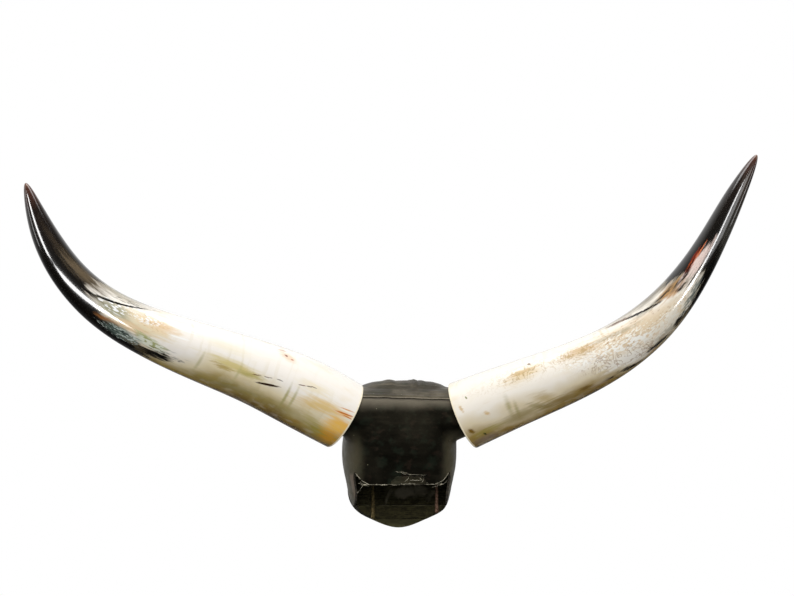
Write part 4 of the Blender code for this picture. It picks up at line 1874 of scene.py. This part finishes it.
LEFT_FINISH = PolishedHorn(
    name="polished_horn_left",
    crown="#f9f3ea",
    flank="#eadcb8",
    # belly and under: the underside's straw and brown, partly painted shade
    belly="#b39a50",
    under="#6e5426",
    tip_start=(
        *((0.0, 0.68), (0.2, 0.70), (0.4, 0.71), (0.5, 0.70)),
        *((0.6, 0.66), (0.7, 0.60), (0.8, 0.545), (1.0, 0.50)),
    ),
    marks=(
        # The grey of the crown before the tip
        Mark(0.655, 0.02, 72, 15, 0, "#77725d", 0.9, 0.3, 0.8),
        Mark(0.64, 0.16, 46, 9, 0, "#a59c86", 0.6, 0.5, 0.9),
        # The middle: cream and olive clouds, a black run below them and white flecks on top
        Mark(0.585, 0.47, 54, 17, 5, "#ecdfc0", 0.95, 0.5, 0.6),
        Mark(0.645, 0.45, 28, 9, 4, "#a3a286", 0.85, 0.5, 0.6),
        Mark(0.585, 0.555, 26, 6.5, 2, "#ebcb9c", 0.85, 0.5, 0.6),
        Mark(0.55, 0.41, 32, 9.5, -7, "#f0d9b0", 0.7, 0.5, 0.7),
        Mark(0.515, 0.385, 20, 6.5, -3, "#e8c79b", 0.7, 0.5, 0.8),
        Mark(0.535, 0.62, 25, 7, -9, "#a3a86c", 0.95),
        Mark(0.535, 0.775, 42, 8, 11, "#11110e", 1, 0.8, 0.4),
        Mark(0.49, 0.77, 27, 4, 18, "#2d2f28", 0.9, 1, 0.5, Texture.THREADS),
        Mark(0.53, 0.635, 24, 6.5, -4, "#eef0e2", 0.85, 0.6, 0.5, Texture.DABS),
        Mark(0.57, 0.325, 29, 9, -1, "#ffffff", 0.95, 0.4, 0.4, Texture.FLECKS),
        Mark(0.555, 0.39, 36, 11, -8, "#caa06a", 0.6, 0.5, 0.5, Texture.SPECKS),
        Mark(0.615, 0.225, 30, 5, 3, "#3b3a2c", 0.7, 0.5, 0.5, Texture.THREADS),
        # Two thin white lines along the upper middle: painted highlights of the gloss
        Mark(0.475, 0.43, 15, 1.2, 3, "#fffdf8", 0.9, 0.4),
        Mark(0.47, 0.315, 18, 1.9, -1, "#fffdf8", 0.7),
        # Straw and olive on the flank and the underside
        Mark(0.33, 0.52, 41, 7, -3, "#d8c67a", 0.8, 0.5, 0.9),
        Mark(0.355, 0.57, 15, 3.5, -4, "#b59a45", 0.75, 0.7, 0.7),
        Mark(0.285, 0.55, 19, 4, 4, "#b8ab5c", 0.75, 0.6, 0.8),
        Mark(0.31, 0.75, 58, 9.5, 4, "#8d875c", 0.55, 0.5, 1.2),
        Mark(0.145, 0.725, 47, 10.5, -1, "#a49a68", 0.5, 0.5, 1.2),
        # Gold and orange near the sawn base
        Mark(0.09, 0.53, 37, 10, 10, "#e6c57c", 0.85, 0.6, 0.9),
        Mark(0.095, 0.68, 14, 6, -4, "#c0b069", 0.6, 0.6, 0.9),
        Mark(0.045, 0.76, 24, 11.5, 0, "#a89a3e", 0.8, 0.6, 0.9),
        Mark(0.025, 0.69, 16, 9.5, 21, "#d6942a", 0.85, 0.6, 0.9),
        Mark(0.01, 0.61, 13, 6, 59, "#f0bd62", 0.9, 0.4, 0.8),
        Mark(0.025, 0.585, 13, 6.5, 4, "#f2b84e", 0.85, 0.6, 0.9),
        Mark(0.12, 0.785, 8, 4, 12, "#a8803c", 0.6, 0.7, 0.6),
        Mark(0.03, 0.5, 15, 3.5, 6, "#eab878", 0.85, 0.4, 0.8),
        Mark(0.025, 0.49, 15, 1.2, 8, "#d07a2c", 1, 0.2),
        Mark(0.015, 0.505, 8, 0.9, 2, "#d08038", 0.95, 0.2),
        Mark(0.025, 0.45, 12, 0.9, 8, "#dd9a50", 0.85, 0.2, 0.6),
        Mark(0.03, 0.635, 18, 13, 8, "#fbc85e", 0.9, 0.5, 1),
        Mark(0.025, 0.79, 15, 12.5, 5, "#dc9a2a", 0.8, 0.6, 1),
        Mark(0.12, 0.42, 22, 8, 8, "#efe0b8", 0.6, 0.6, 1),
        Mark(0.355, 0.36, 32, 7, -2, "#f3ead0", 0.6, 0.6, 1),
        # Growth strokes across the horn
        Mark(0.18, 0.6, 2.5, 18, 0, "#a79f5e", 0.75, 0.2, 0.9),
        Mark(0.16, 0.59, 2.5, 16.5, 0, "#b0a868", 0.65, 0.2, 0.9),
        Mark(0.41, 0.605, 2.5, 15, -7, "#b8b07a", 0.6, 0.2, 1),
        Mark(0.315, 0.595, 2.5, 16.5, -6, "#c4bb84", 0.5, 0.2, 1),
        # Spots and splits
        Mark(0.205, 0.225, 12, 7, -25, "#eac9a6", 0.7, 0.7, 0.8),
        Mark(0.21, 0.215, 2.5, 1.7, -17, "#7d3020", 0.9, 0.9),
        Mark(0.195, 0.24, 2.5, 1.3, -9, "#b2683c", 0.7, 0.9, 0.6),
        Mark(0.22, 0.15, 5.5, 2, 10, "#c99a7c", 0.7, 0.9, 0.6),
        Mark(0.235, 0.57, 18, 1.7, 12, "#38200e", 1, 0.25, 0.35),
        Mark(0.27, 0.525, 6.5, 0.7, 13, "#6b3f1e", 0.9, 0.6, 0.4),
        Mark(0.24, 0.505, 6, 0.7, 12, "#5c3a20", 0.7, 0.8, 0.4),
        Mark(0.21, 0.485, 5.5, 0.7, 3, "#5c4a34", 0.7, 0.8, 0.4),
        Mark(0.155, 0.445, 5, 0.7, 15, "#6f4327", 0.9, 0.7, 0.4),
        Mark(0.135, 0.425, 4.5, 0.7, 13, "#3b2617", 0.8, 0.8, 0.4),
        Mark(0.125, 0.415, 4, 0.6, 5, "#6f5a47", 0.7, 0.8, 0.4),
        # The hidden side
        Mark(0.56, -0.45, 70, 30, 4, "#dcbb88", 0.8, 0.5, 0.8),
        Mark(0.54, -0.62, 50, 9, -3, "#2a2a22", 0.9, 1, 0.5, Texture.THREADS),
        Mark(0.58, -0.4, 60, 22, 2, "#fbf8ef", 0.9, 0.4, 0.4, Texture.FLECKS),
        Mark(0.3, -0.55, 60, 18, 3, "#c8b673", 0.7, 0.6, 0.9),
        Mark(0.12, -0.6, 40, 16, -4, "#a89c5c", 0.7, 0.6, 0.9),
        Mark(0.19, -0.42, 14, 1.6, 6, "#1b120b", 1, 0.3, 0.35),
        Mark(0.09, -0.35, 16, 12, 0, "#8c8248", 0.6, 0.4),
    ),
    tip_marks=(
        Mark(0.635, 0.635, 19, 3.5, 8, "#a8703f", 0.85),
        Mark(0.6, 0.69, 25, 8.5, 2, "#6f8078", 0.9, 0.5),
        Mark(0.6, 0.71, 29, 8, 3, "#dbe6de", 0.9, 0.5, 0.4, Texture.FLECKS),
        Mark(0.6, 0.705, 28, 9, 0, "#1f2a26", 0.9, 0.5, 0.5, Texture.THREADS),
        Mark(0.635, 0.395, 31, 8.5, 6, "#ffffff", 1, 0.4, 0.4, Texture.DABS),
        Mark(0.64, 0.335, 46, 1.4, 16, "#0f0e0b", 1, 0.55, 0.35),
        Mark(0.755, 0.3, 40, 8, 4, "#6f604a", 0.75, 0.6, 1),
        Mark(0.855, 0.385, 29, 4, 7, "#3a3024", 0.6, 0.5, 0.9),
        Mark(0.67, 0.375, 20, 1, 16, "#1d1b15", 0.8, 0.9, 0.35),
    ),
    seed=1.7,
    length=552.8,
    pale_from=0.43,
)

RIGHT_FINISH = PolishedHorn(
    name="polished_horn_right",
    crown="#f9f2e6",
    flank="#e8d9b8",
    # belly and under: the underside's straw and brown, partly painted shade
    belly="#a88c4c",
    under="#664d26",
    tip_start=(
        *((0.0, 0.62), (0.22, 0.63), (0.4, 0.665), (0.5, 0.69)),
        *((0.6, 0.68), (0.7, 0.65), (0.8, 0.60), (1.0, 0.55)),
    ),
    marks=(
        # The grey of the crown before the tip
        Mark(0.545, 0.02, 78, 13, 0, "#8d836e", 0.9, 0.3, 0.8),
        Mark(0.6, 0.08, 42, 11, 0, "#6b6455", 0.8, 0.4, 0.8),
        # The middle: tan and cream clouds
        Mark(0.495, 0.46, 86, 19.5, 10, "#e9d3b0", 0.9, 0.35, 0.6),
        Mark(0.45, 0.465, 35, 10.5, 10, "#e0cbab", 0.7, 0.5, 0.8),
        Mark(0.34, 0.315, 30, 9.5, 3, "#d9c3a0", 0.7, 0.7, 0.7),
        Mark(0.6, 0.285, 53, 4, 2, "#857e6a", 0.8, 0.3, 0.6),
        Mark(0.435, 0.3, 41, 4, 7, "#b9ab91", 0.8, 0.5, 0.7),
        Mark(0.625, 0.33, 28, 8.5, 9, "#c08f55", 0.85),
        Mark(0.625, 0.32, 19, 5.5, 6, "#5b3a1d", 0.85, 0.8, 0.4, Texture.THREADS),
        Mark(0.475, 0.765, 18, 7, 33, "#c79c58", 0.7, 0.7, 0.7),
        Mark(0.55, 0.745, 34, 6.5, 5, "#b9b3a4", 0.7, 0.6, 0.6),
        # White and brown flecks over them
        Mark(0.43, 0.665, 39, 12, 16, "#fdf8ee", 0.95, 0.8, 0.6),
        Mark(0.485, 0.49, 75, 14.5, 12, "#fffcf2", 0.9, 0.5, 0.5, Texture.FLECKS),
        Mark(0.47, 0.53, 61, 13, 12, "#fdf8ec", 0.8, 0.6, 0.5, Texture.DABS),
        Mark(0.375, 0.46, 58, 10, 9, "#fffdf6", 0.8, 0.5, 0.5, Texture.FLECKS),
        Mark(0.47, 0.39, 86, 18, 9, "#b28a58", 0.65, 0.35, 0.5, Texture.SPECKS),
        Mark(0.435, 0.63, 64, 13, 13, "#a9875c", 0.6, 0.4, 0.5, Texture.SQUIGGLES),
        # Dark runs along the underside and the top
        Mark(0.365, 0.77, 12, 2.9, 15, "#2b2320", 0.95, 0.9, 0.4),
        Mark(0.425, 0.82, 18, 4, 18, "#1d1a17", 0.95, 0.9, 0.4),
        Mark(0.505, 0.79, 19, 3.5, 7, "#1b1917", 0.95, 1, 0.4),
        Mark(0.585, 0.77, 20, 4.5, -3, "#161513", 0.95, 0.8, 0.4),
        Mark(0.34, 0.77, 12, 3.5, 10, "#a58a6c", 0.7, 0.8, 0.6),
        Mark(0.43, 0.88, 30, 7, 18, "#5c5549", 0.6, 0.9, 0.6, Texture.THREADS),
        Mark(0.52, 0.23, 38, 2, 15, "#1f160e", 1, 0.85, 0.35),
        Mark(0.46, 0.135, 20, 3.5, 8, "#6b4b33", 0.8, 0.7),
        Mark(0.595, 0.28, 16, 1.5, 3, "#1d1712", 0.9, 0.8, 0.4),
        Mark(0.635, 0.42, 9, 2.4, 7, "#15110e", 0.95, 0.9, 0.4),
        # Tan curls along the front
        Mark(0.19, 0.32, 27, 10, -9, "#e2cb9f", 0.8, 0.8, 0.9),
        Mark(0.19, 0.285, 21, 4, -5, "#cba971", 0.7, 0.9, 0.7),
        Mark(0.34, 0.275, 27, 5, 5, "#cfae7e", 0.7, 0.9, 0.7),
        Mark(0.475, 0.535, 65, 6, 12, "#fffdf6", 0.8, 0.9, 0.6, Texture.DABS),
        Mark(0.195, 0.305, 27, 11, -8, "#b39566", 0.6, 0.4, 0.5, Texture.SQUIGGLES),
        Mark(0.225, 0.31, 94, 14, 1, "#c2a878", 0.4, 0.4, 0.8, Texture.SQUIGGLES),
        Mark(0.33, 0.295, 37, 10, 2, "#b89866", 0.6, 0.4, 0.5, Texture.SQUIGGLES),
        # Straw and brown on the flank and the underside
        Mark(0.22, 0.64, 20, 8, 27, "#bda25e", 0.65, 0.7, 0.9),
        Mark(0.2, 0.71, 21, 5.5, 36, "#9c8a50", 0.65, 0.7, 0.8),
        Mark(0.26, 0.75, 35, 7.5, 4, "#8b7340", 0.7, 0.7, 0.9),
        Mark(0.355, 0.74, 15, 6, -5, "#d2bf9a", 0.8, 0.6, 0.8),
        Mark(0.315, 0.73, 10, 3.5, 3, "#7a5f2c", 0.8, 0.7, 0.7),
        Mark(0.15, 0.71, 34, 7.5, 0, "#9a8a55", 0.6, 0.5, 0.9),
        Mark(0.05, 0.71, 23, 6.5, -1, "#a39445", 0.75, 0.6, 0.8),
        Mark(0.04, 0.815, 20, 8.5, 1, "#8b7763", 0.8, 0.5, 0.7),
        # Growth strokes across the horn
        Mark(0.13, 0.575, 4, 13.5, 5, "#a09556", 0.6, 0.5, 1.2),
        Mark(0.145, 0.63, 3, 12, 6, "#a09556", 0.6, 0.5, 1.2),
        # Spots near the base
        Mark(0.02, 0.42, 5.5, 2, 77, "#cfa85e", 0.7, 0.9, 0.9),
        Mark(0.075, 0.55, 4, 2.6, 44, "#d8b26c", 0.7, 0.9, 0.9),
        Mark(0.02, 0.65, 5, 3.5, 61, "#7c5b15", 0.95, 0.5, 0.6),
        Mark(0.045, 0.74, 3.5, 1.8, 69, "#3f4522", 0.9),
        Mark(0.04, 0.335, 2.5, 1.2, 70, "#7f8246", 0.9, 0.5),
        Mark(0.21, 0.215, 3, 1.9, 48, "#6f4f25", 0.8),
        # The hidden side
        Mark(0.5, -0.42, 80, 32, 3, "#dbc096", 0.8, 0.45, 0.8),
        Mark(0.52, -0.5, 70, 24, 3, "#fbf7ee", 0.95, 0.35, 0.4, Texture.FLECKS),
        Mark(0.48, -0.3, 60, 16, 0, "#a07c4a", 0.8, 0.4, 0.5, Texture.THREADS),
        Mark(0.56, -0.66, 40, 5, -4, "#1a1815", 0.95, 1, 0.4),
        Mark(0.25, -0.6, 70, 20, 0, "#ab9258", 0.7, 0.6, 0.9),
        Mark(0.12, -0.3, 30, 20, 0, "#9a7444", 0.8, 0.4, 0.5, Texture.SQUIGGLES),
    ),
    tip_marks=(
        Mark(0.64, 0.67, 24, 5.5, -8, "#7d8682", 0.85),
        Mark(0.58, 0.64, 48, 9.5, 4, "#f4ecdb", 0.9, 0.4, 0.4, Texture.DABS),
        Mark(0.705, 0.415, 34, 6, 2, "#efd9cf", 0.9, 0.8),
        Mark(0.7, 0.31, 17, 2.8, -4, "#a5481f", 0.95, 0.5),
        Mark(0.685, 0.325, 14, 1.5, -4, "#3d1a10", 0.95, 0.7, 0.4),
        Mark(0.715, 0.275, 13, 1.7, -2, "#6e2410", 0.95, 0.6, 0.4),
        Mark(0.73, 0.335, 16, 1, -1, "#e07c4e", 0.8),
        Mark(0.685, 0.5, 26, 1, 0, "#2a1d18", 0.95, 0.5, 0.4),
        Mark(0.7, 0.7, 37, 1.6, 3, "#10100f", 0.95, 0.6, 0.4),
        # Grey and grey-brown over the black towards the tip: painted reflections in its gloss
        Mark(0.805, 0.9, 39, 16.5, -3, "#5b5850", 0.7, 0.7, 0.8),
        Mark(0.91, 0.65, 35, 7.5, -11, "#463c34", 0.8, 0.6, 0.8),
    ),
    seed=8.3,
    length=549.0,
    pale_from=0.40,
)


def horn_pair() -> tuple[HornSheath, HornSheath]:
    """The two horns, left and right.

    Returns:
        The left horn and the right horn.
    """
    left = HornSheath(
        side=Side.LEFT,
        path=(
            (-78, -66, 45),
            (-135, -82, 75),
            (-203, -104, 104.5),
            (-272, -129, 129),
            (-341, -152, 156),
            (-396, -170, 187),
            (-439, -181, 229),
            (-470, -185, 281),
            (-493, -184, 343),
        ),
        stoutness=((0, 48), (0.12, 51.5), (0.26, 50), (0.4, 49), (0.77, 46), (0.9, 46.5), (1, 40)),
    )
    right = HornSheath(
        side=Side.RIGHT,
        path=(
            (84, -66, 45),
            (141, -88, 69.5),
            (208, -114, 97),
            (272, -140, 129),
            (329.5, -164, 174.5),
            (369, -180, 224.5),
            (399, -190, 276.5),
            (426, -195, 330),
            (457, -197, 388),
        ),
        stoutness=((0, 47.5), (0.26, 46), (0.54, 42.8), (0.77, 38.3), (0.88, 39.5), (1, 38)),
    )
    return left, right


def main() -> None:
    """Builds the studio and each part of the mount, and reports them."""
    logging.basicConfig(level=logging.INFO, format="%(name)s: %(message)s")
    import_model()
    left, right = horn_pair()
    horns = [left.build(LEFT_FINISH), right.build(RIGHT_FINISH)]
    # walls is the painted sheen on the cover's side walls
    hide = SatinLeather("satin_leather", "#080806", "#211f18", 0.45, 0.4, walls="#544f3d")
    cover = (hide, RawLeatherEdge("raw_cover_edge", "#4e4638", "#14120e"))
    # the band's lower edge carries a painted highlight line along its welt
    strip = SatinLeather("worn_leather", "#322f28", "#665f52", 0.75, 0.42, edge_highlight=0.0682)
    band = (strip, RawLeatherEdge("raw_band_edge", "#57513f", "#1a1813"))
    form = Wood("stained_form_wood", "#2a2720", "#12110d", 0.7, grain_axis=2)
    mount = HeadMount(horns=(left, right)).build(cover, band, form)
    lip = TornLip(cover=mount[0])
    mount += lip.build(SatinLeather("cracked_leather", "#232118", "#4c4736", 0.9, 0.6), WaxedThread())
    # the board's pale swirl is a painted reflection in the hollow under the lip
    board = Wood("stained_board_wood", "#4b4832", "#1f1d13", 0.6, swirl_reflection="#8a8372", lighter_below=-0.093)
    mount.append(WallBoard().build(board))
    rail = Wood("stained_rail_wood", "#302d1a", "#0d0c07", 0.66, ring_width=2.0, worn_above=-0.079)
    mount.append(FootRail().build(rail))
    rod = TaperedRod("left_rod", -37.5, -95.2)
    mount.append(rod.build(CopperedSteel("olive_copper", "#8a7a50", "#453b24")))
    rod = TaperedRod("right_rod", 49.5, -88.0, foot_radius=2.8)
    mount.append(rod.build(CopperedSteel("pink_copper", "#a98570", "#573f31")))
    Studio().build(horns, mount)
    for piece in horns + mount:
        LOG.info("%s: %d faces", piece.name, len(piece.data.polygons))
    HornPlugs().dress(Wood("raw_pine_plug", "#b98f5e", "#8a6238", 0.75))


if __name__ == "__main__":
    main()
